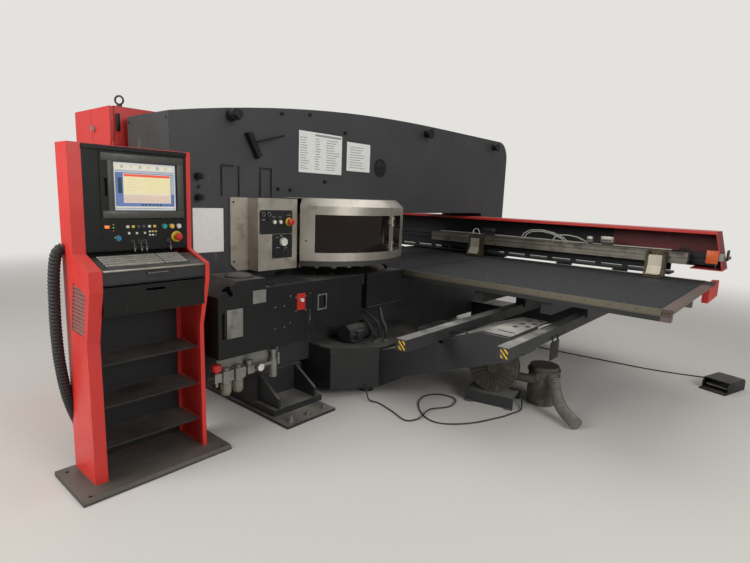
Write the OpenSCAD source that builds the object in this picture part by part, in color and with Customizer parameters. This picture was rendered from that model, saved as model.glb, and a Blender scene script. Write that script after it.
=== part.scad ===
/* [Frame] */
// Width over the outer faces of the two side plates
frame_w = 524; // [460:2:540]
// Thickness of the side plates and of the webs between them
plate_t = 40; // [25:1:50]
// Front edge of the side plates, ahead of the axis
frame_front = 1395; // [1300:5:1400]
// Rear edge of the side plates, behind the axis
frame_rear = 2693; // [2600:1:2900]
// Height of the flat top above the floor
frame_top = 2157; // [2100:1:2300]
// How far the arched top drops towards the nose
nose_drop = 221; // [60:1:300]
// Where the arch meets the flat top, behind the axis
arch_end = 1466; // [1000:2:1800]
// How late the arch bends down, as the power of its curve
arch_power = 2.6; // [2:0.1:3.5]
// Radius of the rear top corner
rear_corner_r = 190; // [80:5:300]
// Front end of the throat window, ahead of the axis
throat_front = 650; // [620:5:800]
// Rear end of the throat window, behind the axis
throat_rear = 2230; // [2205:1:2400]
// Underside of the upper arm
throat_top = 1362; // [1340:1:1400]
// Chamfer in the upper corners of the throat window
throat_chamfer = 60; // [20:2:90]
// Top of the bed
bed_top = 820; // [780:1:825]
// Underside of the bed
bed_bottom = 250; // [200:5:300]
// Thickness of the front cover
front_cover_t = 6; // [3:1:10]

/* [Turrets] */
// Height of the pass line
pass_z = 925; // [925:1:935]
// Radius of both turrets
turret_r = 560; // [530:1:565]
// Radius of the outer ring of stations and of the punch point
station_r = 480; // [470:1:490]
// Number of stations in the outer ring
stations = 24; // [16:4:28]
// Radius of the tool holders in the outer ring
holder_r = 40; // [28:1:44]
// Radius of the inner ring of small stations
inner_ring_r = 370; // [350:1:380]
// Radius of the small tool holders
small_holder_r = 26; // [18:1:32]
// Underside of the upper turret disc
upper_turret_z = 1004; // [1000:1:1020]
// Thickness of the upper turret disc
upper_turret_t = 60; // [40:1:80]
// Thickness of the lower turret disc
lower_turret_t = 80; // [60:1:85]
// Radius of the shafts that the turrets turn on
shaft_r = 60; // [40:1:80]
// Height of the tool holders above the upper disc
holder_h = 140; // [80:1:150]
// How far the tool holders reach below the upper disc
holder_drop = 38; // [20:1:38]
// Radius of the ram
ram_r = 50; // [40:1:55]
// Stroke of the ram
ram_stroke = 35; // [20:1:36]

/* [Turret guard] */
// Outer radius of the arc hood
guard_r = 690; // [660:1:720]
// Thickness of its sheet
guard_t = 5; // [3:1:8]
// Lower edge of its sheet
guard_bottom = 1040; // [1030:1:1060]
// Height of the ridge where the sheet bends inward
guard_ridge = 1421; // [1380:1:1440]
// Height of its top
guard_top = 1473; // [1460:1:1490]
// How far the top edge lies inside the ridge
guard_inset = 60; // [40:1:90]
// Angle of the free edge of the door, from the X axis
door_from = -53.6; // [-54:0.2:-45]
// Angle of the hinge seam
door_to = 8.2; // [4:0.2:12]
// Angle of the rear end of the fixed panel
panel_to = 31; // [26:0.5:32]
// Angle of the front edge of the door window
window_from = -45; // [-50:0.5:-30]
// Lower edge of the windows
window_bottom = 1099; // [1090:1:1150]
// Upper edge of the windows
window_top = 1362; // [1300:1:1380]
// Height of the dark skirt below the sheet
skirt_h = 36; // [20:1:40]

/* [Tables] */
// Half the width of the centre table
centre_half_w = 592; // [580:1:600]
// Gap between the centre table and a side table
table_gap = 15; // [8:1:20]
// Outer ends of the side tables, from the centre
table_end = 2544; // [2400:2:2700]
// Front edge of the side tables, behind the axis
table_front = 370; // [340:2:420]
// Rear edge of the side table decks
table_rear = 1960; // [1930:2:1980]
// Thickness of the decks
deck_t = 20; // [12:1:30]
// Height of the aluminium front edge
edge_h = 38; // [30:1:50]
// Width of the brown strip at the outer end
strip_w = 64; // [40:1:90]
// Width of the beams below the decks
table_beam_w = 75; // [60:1:80]
// Underside of those beams
table_beam_z = 760; // [740:1:800]

/* [Rails and arms] */
// Inner faces of the inner Y rails, from the centre
inner_rail_x = 1236; // [1180:2:1300]
// Inner faces of the outer Y rails, from the centre
outer_rail_x = 1749; // [1700:2:1800]
// Side of the square Y rails
rail_w = 75; // [60:1:90]
// Top of the Y rails
rail_top = 650; // [640:1:660]
// Front end of the inner Y rails, ahead of the axis
inner_rail_front = 487; // [480:1:520]
// Front end of the outer Y rails, ahead of the axis
outer_rail_front = 166; // [150:1:300]
// Rear end of the Y rails
rail_rear = 2600; // [2560:5:2680]
// Width of a table arm, along Y
arm_w = 420; // [300:5:440]
// Front face of the rear arms
rear_arm_y = 2120; // [2080:5:2160]
// Width of a rear arm
rear_arm_w = 300; // [200:5:360]
// Height of an arm's top where it leaves the base
arm_root_z = 350; // [330:1:360]
// Height of an arm's level top at its outer end
arm_tip_z = 663; // [655:1:670]
// Where the arm levels out, from the centre
arm_knee_x = 1562; // [1500:2:1600]
// Depth of an arm, measured upright
arm_depth = 215; // [180:1:240]
// Thickness of the slotted plate on an arm's top
arm_plate_t = 10; // [6:1:12]

/* [Base] */
// Ends of the base, from the centre
base_end = 718; // [700:2:740]
// Front face of the base, ahead of the axis
base_front = 328; // [300:2:340]
// Rear face of the base
base_rear = 760; // [700:5:800]
// Top of the base outside the frame
base_top = 375; // [360:1:400]
// Underside of the base
base_bottom = 60; // [50:1:80]
// Front corners of the base, from the centre
base_corner_x = 509; // [450:2:560]
// Radius of the levelling pads
pad_r = 60; // [40:1:80]
// Outer end of the floor plates of the feet
foot_end = 700; // [660:2:720]
// Front edge of the floor plates of the feet, ahead of the axis
foot_front = 886; // [860:2:900]
// Length of the floor plates, along Y
foot_len = 427; // [420:1:460]
// Thickness of the floor plates
foot_t = 20; // [12:1:30]
// Outer end of the upper foot plates
foot_step_x = 530; // [500:2:560]
// Top of the upper foot plates
foot_step_z = 65; // [50:1:80]
// Thickness of the gussets
gusset_t = 20; // [12:1:30]
// Foot holes, from the centre
foot_hole_x = 652; // [620:1:660]
// Spacing of the foot holes, along Y
foot_hole_gap = 146; // [120:1:160]
// Radius of the foot holes
foot_hole_r = 13; // [9:0.5:16]

/* [Carriage] */
// Length of the carriage wall to each side
carriage_half = 2540; // [2400:2:2550]
// Length of the carriage base to each side
plate_half = 2200; // [2100:5:2300]
// Front face of the carriage base
carriage_front = 2000; // [1990:1:2010]
// Rear face of the carriage base
carriage_rear = 2184; // [2170:1:2190]
// Underside of the carriage base
carriage_z = 940; // [938:1:950]
// Top of the carriage base
carriage_top = 958; // [956:1:975]
// Length of the X beam
beam_len = 2501; // [2400:1:2520]
// Left end of the X beam
beam_left = -168; // [-190:1:-150]
// Underside of the X beam
beam_z = 1049; // [1052:1:1055]
// Height of the X beam
beam_h = 93; // [80:1:100]
// Front face of the X beam
beam_front = 1880; // [1870:1:1900]
// Half the length of the red cover at its top
cover_half = 2505; // [2490:1:2520]
// How much further the cover reaches at its lower edge
cover_flare = 73; // [40:1:90]
// Lower edge of the cover
cover_bottom = 1020; // [1000:1:1030]
// Top of the cover
cover_top = 1325; // [1300:1:1330]
// Front edge of the cover
cover_front = 1900; // [1896:1:1940]
// Thickness of the cover's sheet
cover_t = 6; // [3:1:6]
// Places of the two clamps along the beam, to their left sides
clamp_x = [346, 2040]; // [0:1:2200]
// Width of a clamp
clamp_w = 150; // [120:1:180]
// How far the jaws reach ahead of the clamp bodies
jaw_len = 132; // [120:1:132]
// Thickness of the lower jaw
lower_jaw_t = 14; // [10:1:14]
// Opening between the jaws
jaw_gap = 8; // [6:1:8]
// Thickness of the upper jaw at its tip
upper_jaw_t = 8; // [6:1:8]

/* [Console] */
// Front edge of the side panels at the top, measured from the centre
console_top_x = 432; // [420:1:450]
// Front edge at the knee
console_knee_x = 612; // [590:1:620]
// Rear face of the console
console_back = 282; // [278:1:300]
// Outer face of the left side panel, ahead of the axis
console_left = 1983; // [1960:1:2000]
// Width over the side panels
console_w = 612; // [590:1:640]
// Height of the console
console_h = 1700; // [1680:1:1740]
// Width of the left post
left_post_w = 60; // [50:1:64]
// Width of the right post
right_post_w = 25; // [20:1:28]
// Depth of the posts
post_d = 30; // [20:1:40]
// Thickness of the console's sheet
console_t = 4; // [3:1:5]
// Thickness of the floor plate
console_plate_t = 25; // [15:1:30]
// Length of the floor plate, along Y
console_plate_len = 804; // [790:1:820]
// Front edge of the floor plate, from the centre
console_plate_x = 662; // [650:1:680]
// Spacing of the floor plate's holes, along X
console_hole_dx = 310; // [290:1:320]
// Spacing of the floor plate's holes, along Y
console_hole_dy = 716; // [700:1:730]
// Front face of the screen bezel and of the button panel
panel_x = 428; // [426:1:430]
// Height of the keyboard's front edge
tray_z = 1110; // [1108:1:1112]
// Height of the tray's front
tray_h = 75; // [60:1:76]
// How far the tray and the drawer pull out
tray_travel = 250; // [150:5:260]
// Height of the drawer
drawer_h = 140; // [120:1:142]
// Heights of the shelves
shelf_z = [622, 400, 184]; // [100:1:700]

/* [Cabinet] */
// Width of the cabinet
cabinet_w = 570; // [500:2:580]
// Depth of the cabinet, with its doors
cabinet_d = 570; // [500:5:570]
// Height of the cabinet
cabinet_h = 2000; // [1900:5:2050]
// Right side of the cabinet, from the centre
cabinet_side = 328; // [300:1:340]
// Front face of the doors, ahead of the axis
cabinet_front = 1480; // [1460:2:1500]
// Thickness of the cabinet's sheet
cabinet_t = 4; // [3:1:5]
// Thickness of the doors
cabinet_door_t = 25; // [18:1:30]

/* [Control box] */
// Front face of the box, from the centre
box_x = 387; // [380:1:395]
// Left side of the box, ahead of the axis
box_left = 885; // [870:1:900]
// Right side of the box, ahead of the axis
box_right = 562; // [560:1:580]
// Underside of the box
box_bottom = 990; // [985:1:1000]
// Top of the box
box_top = 1462; // [1440:1:1470]
// Left end of the thin strip beside it
box_strip = 1017; // [1000:1:1040]
// Thickness of that strip
box_strip_t = 15; // [10:1:20]

/* [Lower covers] */
// Outer face of the covers, from the centre
lower_x = 592; // [580:1:594]
// Left end of the front cover
lower_left = 1309; // [1300:1:1320]
// Joint between the front and the middle cover
lower_split = 592; // [585:1:600]
// Rear end of the middle cover
lower_middle_end = 102; // [95:1:110]
// Front end of the rear box, ahead of the axis
lower_rear_start = 43; // [30:1:60]
// Rear end of the rear box
lower_rear_end = 386; // [370:1:388]
// Lower edge of the front cover
lower_z1 = 530; // [500:1:560]
// Lower edge of the middle cover
lower_z2 = 590; // [570:1:620]
// Lower edge of the rear box
lower_z3 = 657; // [640:1:680]
// Raised top of the front cover
lower_raised = 985; // [960:1:988]
// Thickness of the covers
lower_t = 5; // [3:1:8]

/* [Small parts] */
// Travel of the push buttons
button_travel = 3; // [1:0.5:4]
// Radius of the push buttons
button_r = 12; // [9:0.5:14]
// Radius of the mushroom buttons
mushroom_r = 20; // [16:0.5:24]
// Length of the pedal
pedal_len = 330; // [280:2:360]
// Width of the pedal
pedal_w = 200; // [160:2:220]
// Height of the pedal's guard
pedal_h = 95; // [80:1:110]
// Radius of the blower's fan
fan_r = 185; // [150:1:185]
// Radius of the canister
canister_r = 110; // [90:1:120]
// Height of the canister's lid above the floor
canister_h = 300; // [260:2:340]

/* [Clearances] */
// Gap around what turns on a shaft or pin
run_gap = 0.05; // [0.02:0.01:0.1]
// Gap at seats and beside what slides
seat_gap = 0.3; // [0.2:0.05:0.5]
// Gap around doors and panels
door_gap = 3; // [2:0.5:5]

/* [Hidden] */

half_w = frame_w / 2;
eps = 1;
arch_steps = 16;
punch_y = station_r;
turret_clear = turret_r + 15;

// Basic shapes, given by their limits
module block(x, y, z) {
    translate([x[0], y[0], z[0]]) cube([x[1] - x[0], y[1] - y[0], z[1] - z[0]]);
}
module along_x(points, x) {
    translate([x[0], 0, 0]) rotate([90, 0, 90]) linear_extrude(x[1] - x[0]) polygon(points);
}
module along_y(points, y) {
    translate([0, y[1], 0]) rotate([90, 0, 0]) linear_extrude(y[1] - y[0]) polygon(points);
}
module along_z(points, z) {
    translate([0, 0, z[0]]) linear_extrude(z[1] - z[0]) polygon(points);
}
module rod_x(x, y, z, r) {
    translate([x[0], y, z]) rotate([0, 90, 0]) cylinder(h = x[1] - x[0], r = r, $fn = 48);
}
module rod_y(x, y, z, r) {
    translate([x, y[0], z]) rotate([-90, 0, 0]) cylinder(h = y[1] - y[0], r = r, $fn = 48);
}
module rod_z(x, y, z, r) {
    translate([x, y, z[0]]) cylinder(h = z[1] - z[0], r = r, $fn = 48);
}
module both_sides() {
    children();
    mirror([1, 0, 0]) children();
}

// Outline of a side plate, with the arched nose and the round rear corner
function arch_z(y) = frame_top - nose_drop * pow(max(0, arch_end - y) / (arch_end + frame_front), arch_power);
function arch_points(y0, y1, drop) = [for (i = [0:arch_steps])
    let (y = y0 + (y1 - y0) * i / arch_steps) [y, arch_z(y) - drop]];
function rear_corner(drop) = [for (a = [90:-15:0])
    [frame_rear - rear_corner_r + (rear_corner_r - drop) * cos(a),
     frame_top - rear_corner_r + (rear_corner_r - drop) * sin(a)]];
side_outline = concat([[-frame_front, bed_bottom]], arch_points(-frame_front, arch_end, 0), rear_corner(0),
    [[frame_rear, bed_bottom]]);
throat_outline = [[-throat_front, bed_top], [-throat_front, throat_top - throat_chamfer],
    [throat_chamfer - throat_front, throat_top], [throat_rear - throat_chamfer, throat_top],
    [throat_rear, throat_top - throat_chamfer], [throat_rear, bed_top]];
upper_cavity = concat([[plate_t - frame_front, throat_top + plate_t]],
    arch_points(plate_t - frame_front, arch_end, plate_t), rear_corner(plate_t),
    [[frame_rear - plate_t, throat_top + plate_t]]);
cavity_x = [plate_t - half_w, half_w - plate_t];

// Closed box frame: two side plates joined by webs, open at the throat
module frame() {
    color("#333435") difference() {
        along_x(side_outline, [-half_w, half_w]);
        along_x(throat_outline, [-half_w - eps, half_w + eps]);
        along_x(upper_cavity, cavity_x);
        block(cavity_x, [plate_t - frame_front, frame_rear - plate_t],
            [bed_bottom + plate_t, bed_top - plate_t]);
        block(cavity_x, [plate_t - frame_front, -throat_front - plate_t],
            [bed_top - plate_t - eps, throat_top + plate_t + eps]);
        block(cavity_x, [throat_rear + plate_t, frame_rear - plate_t],
            [bed_top - plate_t - eps, throat_top + plate_t + eps]);
        rod_z(0, punch_y, [throat_top - eps, throat_top + plate_t + eps], guide_r + seat_gap);
    }
}

// Flat cover over the nose of the frame
module front_cover() {
    cover_top_z = arch_z(-frame_front) - 6;
    color("#4a4a46") difference() {
        block([-half_w, half_w], [-frame_front - front_cover_t, -frame_front], [bed_bottom, cover_top_z]);
        for (x = [24 - half_w, half_w - 24], z = [bed_bottom + 60, cover_top_z - 30])
            rod_y(x, [-frame_front - front_cover_t - eps, -frame_front + eps], z, 5);
    }
}

// Leg below the nose with its two floor plates, one on each side
foot_mid = foot_len / 2 - foot_front;
rear_foot_y = [rear_arm_y + rear_arm_w + 20, frame_rear - 40];
module feet() {
    leg_y = [-foot_front + 26, -foot_front + foot_len + 26];
    color("#2f3031") difference() {
        union() {
            block([-foot_step_x, foot_step_x], leg_y, [foot_t, foot_step_z]);
            block([-half_w - 40, half_w + 40], leg_y, [foot_step_z, bed_bottom]);
            block([-foot_end, foot_end], [-foot_front, -foot_front + foot_len], [0, foot_t]);
            both_sides() for (y = [leg_y[0] + 34, leg_y[1] - 72])
                along_y([[half_w + 39, foot_step_z - eps], [half_w + 39, bed_bottom],
                    [half_w + 58, bed_bottom], [foot_step_x - 4, foot_step_z + 68],
                    [foot_step_x - 4, foot_step_z - eps]], [y, y + gusset_t]);
            both_sides() block([half_w - 20, half_w + 40], rear_foot_y, [foot_step_z - eps, bed_bottom]);
            both_sides() block([half_w - 20, foot_step_x], rear_foot_y, [0, foot_step_z]);
        }
        both_sides() for (y = [-1, 0, 1])
            translate([foot_hole_x, foot_mid + y * foot_hole_gap, -eps])
                cylinder(h = foot_t + 2 * eps, r = foot_hole_r, $fn = 32);
    }
}

// Heavy base below the bed, with an angled end on each side for the table arms
module base() {
    color("#2a2b2c") difference() {
        union() {
            along_z([[-base_end, -20], [-base_corner_x, -base_front], [base_corner_x, -base_front],
                [base_end, -20], [base_end, arm_w], [base_corner_x, base_rear], [-base_corner_x, base_rear],
                [-base_end, arm_w]], [base_bottom, base_top]);
            for (x = [-0.8, 0, 0.8]) rod_z(x * base_end, 0, [0, base_bottom + eps], pad_r);
            for (x = [-0.6, 0.6]) rod_z(x * base_end, base_rear - pad_r - 20, [0, base_bottom + eps], pad_r);
            both_sides() along_z([[base_corner_x - 60, -base_front - 6], [base_corner_x, -base_front - 6],
                [base_end + 5, -22], [base_end - 30, -22], [base_corner_x - 40, -base_front + 60]],
                [base_top - 40, base_top + 8]);
        }
        block([-half_w, half_w], [-base_front - 10, base_rear + eps], [bed_bottom, base_top + 20]);
    }
}

// One table arm seen from the front: it rises outward, levels out and ends below the outer rail
function arm_slope() = (arm_tip_z - arm_root_z) / (arm_knee_x - base_end);
function arm_top_z(x) = min(arm_tip_z, arm_root_z + (x - base_end) * arm_slope());
arm_outline = [[base_end, arm_root_z + 24], [base_end + 4, arm_root_z], [arm_knee_x, arm_tip_z],
    [outer_rail_x, arm_tip_z], [outer_rail_x, arm_tip_z - arm_depth * 0.72],
    [arm_knee_x + 20, arm_tip_z - arm_depth], [base_end + 62, arm_root_z - arm_depth],
    [base_end + 56, arm_root_z - arm_depth - 40], [base_end, arm_root_z - arm_depth - 40]];
function arm_seat(x) = [[x, arm_top_z(x) - 12], [x, rail_top - rail_w], [x + rail_w, rail_top - rail_w],
    [x + rail_w, arm_top_z(x + rail_w) - 12]];
module arm(y, plate_end) {
    difference() {
        union() {
            along_y(arm_outline, y);
            along_y(arm_seat(inner_rail_x), y);
            along_y([[inner_rail_x + rail_w + 30, arm_top_z(inner_rail_x + rail_w + 30)],
                [arm_knee_x, arm_tip_z], [outer_rail_x, arm_tip_z], [outer_rail_x, arm_tip_z + arm_plate_t],
                [arm_knee_x, arm_tip_z + arm_plate_t],
                [inner_rail_x + rail_w + 30, arm_top_z(inner_rail_x + rail_w + 30) + arm_plate_t]],
                [y[0] + 6, plate_end]);
        }
        block([outer_rail_x - 140, outer_rail_x - 20], [y[0] + 100, y[0] + 118], [0, arm_tip_z + 40]);
        if (plate_end > y[1]) for (i = [0:1], j = [0:2])
            rod_z(outer_rail_x - 98 + i * 60, plate_end - 315 + i * 60 + j * 112, [0, arm_tip_z + 40], 20);
    }
}
module table_arms() {
    color("#3c3d3e") both_sides() {
        arm([0, arm_w], arm_w + 170);
        arm([rear_arm_y, rear_arm_y + rear_arm_w], rear_arm_y + rear_arm_w - 6);
        block([half_w, base_end], [rear_arm_y, rear_arm_y + rear_arm_w],
            [arm_root_z - arm_depth - 40, arm_root_z + 24]);
        for (y = [0, rear_arm_y])
            block([outer_rail_x - 1, outer_rail_x + rail_w], [y + 60, y + rear_arm_w - 60],
                [rail_top - rail_w - 16, rail_top - rail_w]);
    }
}

// Square tube rails with closed front ends
module rail(x, front) {
    difference() {
        block([x, x + rail_w], [-front, rail_rear], [rail_top - rail_w, rail_top]);
        block([x + 6, x + rail_w - 6], [6 - front, rail_rear + eps], [rail_top - rail_w + 6, rail_top - 6]);
    }
}
module y_rails() {
    color("#3c3d3e") both_sides() {
        rail(inner_rail_x, inner_rail_front);
        rail(outer_rail_x + seat_gap, outer_rail_front);
    }
}

// Fixed table in the throat, cut round for the lower turret
module centre_table() {
    legs_y = [throat_rear - 120, 900];
    color("#15181b") difference() {
        union() {
            block([-centre_half_w, centre_half_w], [lower_rear_end + 4, throat_rear - door_gap],
                [pass_z - deck_t, pass_z]);
            for (x = [30 - centre_half_w, -40, centre_half_w - 70])
                block([x, x + 40], [lower_rear_end + 4, throat_rear - door_gap],
                    [pass_z - deck_t - 50, pass_z - deck_t]);
            for (y = legs_y) block([-half_w, half_w], [y, y + 60], [bed_top, pass_z - deck_t]);
            for (y = legs_y) block([-centre_half_w + 30, centre_half_w - 30], [y, y + 60],
                [pass_z - deck_t - 50, pass_z - deck_t]);
        }
        rod_z(0, 0, [bed_top - eps, pass_z + eps], turret_clear);
    }
}

// Side table: deck, aluminium edge, outer strip, beams and the shoes that ride the rails
rail_mid = [inner_rail_x + rail_w / 2, outer_rail_x + seat_gap + rail_w / 2];
table_x = [centre_half_w + table_gap, table_end];
shoe_y = [[1150, 1350], [1950, 2150]];
module shoe(x, y) {
    cheek = 12;
    half = rail_w / 2 + seat_gap;
    difference() {
        block([x - half, x + half + cheek], y, [rail_top - 25, table_beam_z]);
        block([x - half - eps, x + half], [y[0] - eps, y[1] + eps], [rail_top - 26, rail_top + seat_gap]);
    }
}
module side_table() {
    deck_z = [pass_z - deck_t, pass_z];
    block([table_x[0], table_x[1] - strip_w], [table_front + 8, table_rear], deck_z);
    block([table_x[1] - strip_w, table_x[1]], [table_front, table_rear], deck_z);
    block([table_x[0], table_x[1] - strip_w], [table_front, table_front + 8], [pass_z - edge_h, pass_z]);
    for (y = [table_front + 8, 1000, table_rear - 50])
        block([table_x[0] + 10, table_x[1] - 10], [y, y + 45], [deck_z[0] - 55, deck_z[0]]);
    for (x = rail_mid) {
        block([x - table_beam_w / 2, x + table_beam_w / 2], [table_front + 60, table_rear],
            [table_beam_z, deck_z[0] - 55]);
        block([x - table_beam_w / 2, x + table_beam_w / 2], [table_rear, carriage_rear],
            [table_beam_z, carriage_z]);
        for (y = shoe_y) shoe(x, y);
    }
    block([table_x[1] - 44, table_x[1]], [table_rear - 320, table_rear], [pass_z - 130, deck_z[0] + eps]);
    block([table_x[1] - 44, table_x[1]], [table_rear - eps, carriage_rear - 66], [pass_z - 130, pass_z]);
}
module side_table_right() {
    color("#15181b") side_table();
}
module side_table_left() {
    color("#15181b") mirror([1, 0, 0]) side_table();
}

// Carriage base across the machine, with two guide rails on its upright wall
guide_w = 22;
guide_t = 14;
guide_z = [beam_z + 18, beam_z + 60];
beam_depth = 106;
wall_front = beam_front + beam_depth + guide_t;
wall_y = [wall_front, wall_front + 25];
module carriage_base() {
    color("#2c2e30") {
        block([-plate_half, plate_half], [carriage_front, carriage_rear], [carriage_z, carriage_top]);
        block([-carriage_half, carriage_half], wall_y, [beam_z, beam_z + beam_h + 10]);
        block([-plate_half, plate_half], wall_y, [carriage_top + 22, beam_z + eps]);
        for (z = guide_z) block([-carriage_half + 20, carriage_half - 20],
            [wall_front - guide_t, wall_front], [z, z + guide_w - 2]);
        for (i = [-9:9]) block([i * 230 - 22, i * 230 + 22], wall_y, [carriage_top, beam_z]);
        for (i = [-3:3]) block([i * 800 - 20, i * 800 + 20], [wall_y[0] + 1, carriage_rear],
            [beam_z + 20, beam_z + 60]);
    }
}

// Red sheet cover over the carriage, open towards the table, with slanted ends
module cover_solid(inset, y, z0) {
    along_y([[-cover_half + inset, cover_top - inset], [cover_half - inset, cover_top - inset],
        [cover_half + cover_flare - inset, z0], [-cover_half - cover_flare + inset, z0]], y);
}
module carriage_cover() {
    color("#d8312a") {
        difference() {
            cover_solid(0, [cover_front, carriage_rear + cover_t], cover_bottom);
            cover_solid(cover_t, [cover_front - eps, carriage_rear], cover_bottom - 0.01);
        }
        both_sides() block([cover_half - 150, cover_half + cover_flare - cover_t + 3],
            [cover_front, carriage_rear + cover_t], [cover_bottom, cover_bottom + cover_t]);
        block([-cover_half, cover_half], [cover_front, cover_front + 3], [cover_top - 22, cover_top - 3]);
    }
}

// X beam with its stepped front and the grooves that its guide rails fit
module x_beam() {
    beam_x = [beam_left, beam_left + beam_len];
    beam_y = [beam_front, beam_front + beam_depth + guide_t - seat_gap];
    color("#77726a") difference() {
        block(beam_x, beam_y, [beam_z, beam_z + beam_h]);
        for (z = guide_z) block([beam_x[0] - eps, beam_x[1] + eps],
            [beam_y[1] - guide_t - seat_gap, beam_y[1] + eps],
            [z - seat_gap, z + guide_w - 2 + seat_gap]);
        block([beam_x[0] - eps, beam_x[1] + eps], [beam_front - eps, beam_front + 12],
            [beam_z + 34, beam_z + 52]);
        block([beam_x[0] - eps, beam_x[1] + eps], [beam_front - eps, beam_front + 8],
            [beam_z + beam_h - 14, beam_z + beam_h + eps]);
    }
}

// Clamp bodies hang on the beam; each has a fixed lower jaw and a pin for the upper jaw
jaw_z = pass_z + 5;
jaw_top_z = jaw_z + lower_jaw_t + jaw_gap;
jaw_tip_y = beam_front + 5 - jaw_len;
jaw_pin_y = beam_front - 42;
jaw_pin_z = jaw_top_z + 52;
jaw_pin_r = 9;
jaw_side = 22;
module clamp_body(x) {
    inner = [x + jaw_side, x + clamp_w - jaw_side];
    block([x + 8, x + clamp_w - 8], [jaw_tip_y, beam_front], [jaw_z, jaw_z + lower_jaw_t]);
    block([x, x + clamp_w], [beam_front - 8, beam_front], [jaw_z, beam_z + beam_h]);
    for (side = [[x, inner[0]], [inner[1], x + clamp_w]]) difference() {
        along_x([[beam_front - 4, jaw_z], [beam_front - 90, jaw_z], [beam_front - 90, jaw_z + lower_jaw_t],
            [jaw_pin_y - 24, jaw_pin_z - 10], [jaw_pin_y - 24, beam_z + beam_h - 16],
            [beam_front - 4, beam_z + beam_h]], side);
        rod_x([x - eps, x + clamp_w + eps], jaw_pin_y, beam_z + beam_h - 34, 7);
    }
    rod_x([x - 3, x + clamp_w + 3], jaw_pin_y, jaw_pin_z, jaw_pin_r);
    block([x, x + clamp_w], [beam_front - 8, beam_front + 40], [beam_z + beam_h, beam_z + beam_h + 8]);
}
module clamp_bodies() {
    color("#8c7a50") for (x = clamp_x) clamp_body(x);
}
module clamp_jaw(x) {
    jaw_x = [x + jaw_side + 1, x + clamp_w - jaw_side - 1];
    color("#cfc6b0") difference() {
        union() {
            along_x([[jaw_tip_y, jaw_top_z], [jaw_tip_y, jaw_top_z + upper_jaw_t],
                [beam_front - 92, jaw_top_z + upper_jaw_t], [jaw_pin_y - 20, jaw_pin_z + 16],
                [jaw_pin_y - 20, beam_z + 60], [jaw_pin_y + 16, beam_z + 60],
                [jaw_pin_y + 18, jaw_pin_z - 20], [jaw_pin_y + 4, jaw_top_z]], jaw_x);
            rod_x([jaw_x[0], jaw_x[1]], jaw_pin_y, jaw_pin_z, 20);
        }
        rod_x([jaw_x[0] - eps, jaw_x[1] + eps], jaw_pin_y, jaw_pin_z, jaw_pin_r + run_gap);
    }
}
module clamp_jaw_near() {
    clamp_jaw(clamp_x[0]);
}
module clamp_jaw_far() {
    clamp_jaw(clamp_x[1]);
}

// Rings of stations shared by the upper and the lower turret
holder_collar = 6;
inner_stations = stations / 2;
module ring_of_stations(gap, z) {
    for (i = [0:stations - 1]) rotate([0, 0, 90 + i * 360 / stations])
        rod_z(station_r, 0, z, (i % 4 == 0 ? holder_r : holder_r * 0.72) + gap);
    for (i = [0:inner_stations - 1]) rotate([0, 0, 90 + (i + 0.5) * 360 / inner_stations])
        rod_z(inner_ring_r, 0, z, small_holder_r + gap);
}
module upper_turret() {
    z = [upper_turret_z, upper_turret_z + upper_turret_t];
    color("#5b5a56") difference() {
        union() {
            rod_z(0, 0, z, turret_r - 12);
            rod_z(0, 0, [z[0] + 10, z[1] - 10], turret_r);
            rod_z(0, 0, [z[0], z[1] + 45], 200);
        }
        ring_of_stations(seat_gap, [z[0] - eps, z[1] + eps]);
        rod_z(0, 0, [z[0] - eps, z[1] + 46], shaft_r + run_gap);
    }
}
module upper_tools() {
    top = upper_turret_z + upper_turret_t;
    color("#8d8a83") {
        ring_of_stations(0, [upper_turret_z - holder_drop, top]);
        ring_of_stations(holder_collar, [top, top + 12]);
        ring_of_stations(-4, [top + 12, top + holder_h * 0.72]);
        ring_of_stations(2, [top + holder_h * 0.72, top + holder_h]);
    }
}
lower_turret_top = pass_z - 5;
module lower_turret() {
    z = [lower_turret_top - lower_turret_t, lower_turret_top];
    color("#5b5a56") difference() {
        union() {
            rod_z(0, 0, z, turret_r - 8);
            rod_z(0, 0, [z[0], z[1] - 12], turret_r);
        }
        ring_of_stations(-14, [z[0] - eps, z[1] + eps]);
        rod_z(0, 0, [z[0] - eps, lower_shaft_top + run_gap], shaft_r + run_gap);
    }
}
lower_shaft_top = lower_turret_top - 15;
module turret_shafts() {
    color("#6a6a68") {
        rod_z(0, 0, [upper_turret_z - 20, throat_top], shaft_r);
        rod_z(0, 0, [upper_turret_z - 20, upper_turret_z - seat_gap], shaft_r + 25);
        rod_z(0, 0, [upper_turret_z + upper_turret_t + 45 + seat_gap, throat_top], 150);
        rod_z(0, 0, [bed_top, lower_shaft_top], shaft_r);
        rod_z(0, 0, [bed_top, lower_turret_top - lower_turret_t - seat_gap], 180);
    }
}

// Ram above the punch point, sliding in a flanged guide in the upper arm
guide_r = ram_r + 8;
ram_low = upper_turret_z + upper_turret_t + holder_h + ram_stroke + 2;
ram_collar_z = throat_top + plate_t + ram_stroke + 6;
module ram_guide() {
    color("#6a6a68") difference() {
        union() {
            rod_z(0, punch_y, [throat_top - 30, throat_top], ram_r + 35);
            rod_z(0, punch_y, [throat_top - 30, throat_top + plate_t + 2], guide_r);
        }
        rod_z(0, punch_y, [throat_top - 31, throat_top + plate_t + 3], ram_r + run_gap);
    }
}
module ram() {
    color("#a8a49c") {
        rod_z(0, punch_y, [ram_low, ram_collar_z + 60], ram_r);
        rod_z(0, punch_y, [ram_collar_z, ram_collar_z + 30], ram_r + 20);
    }
}

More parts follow.
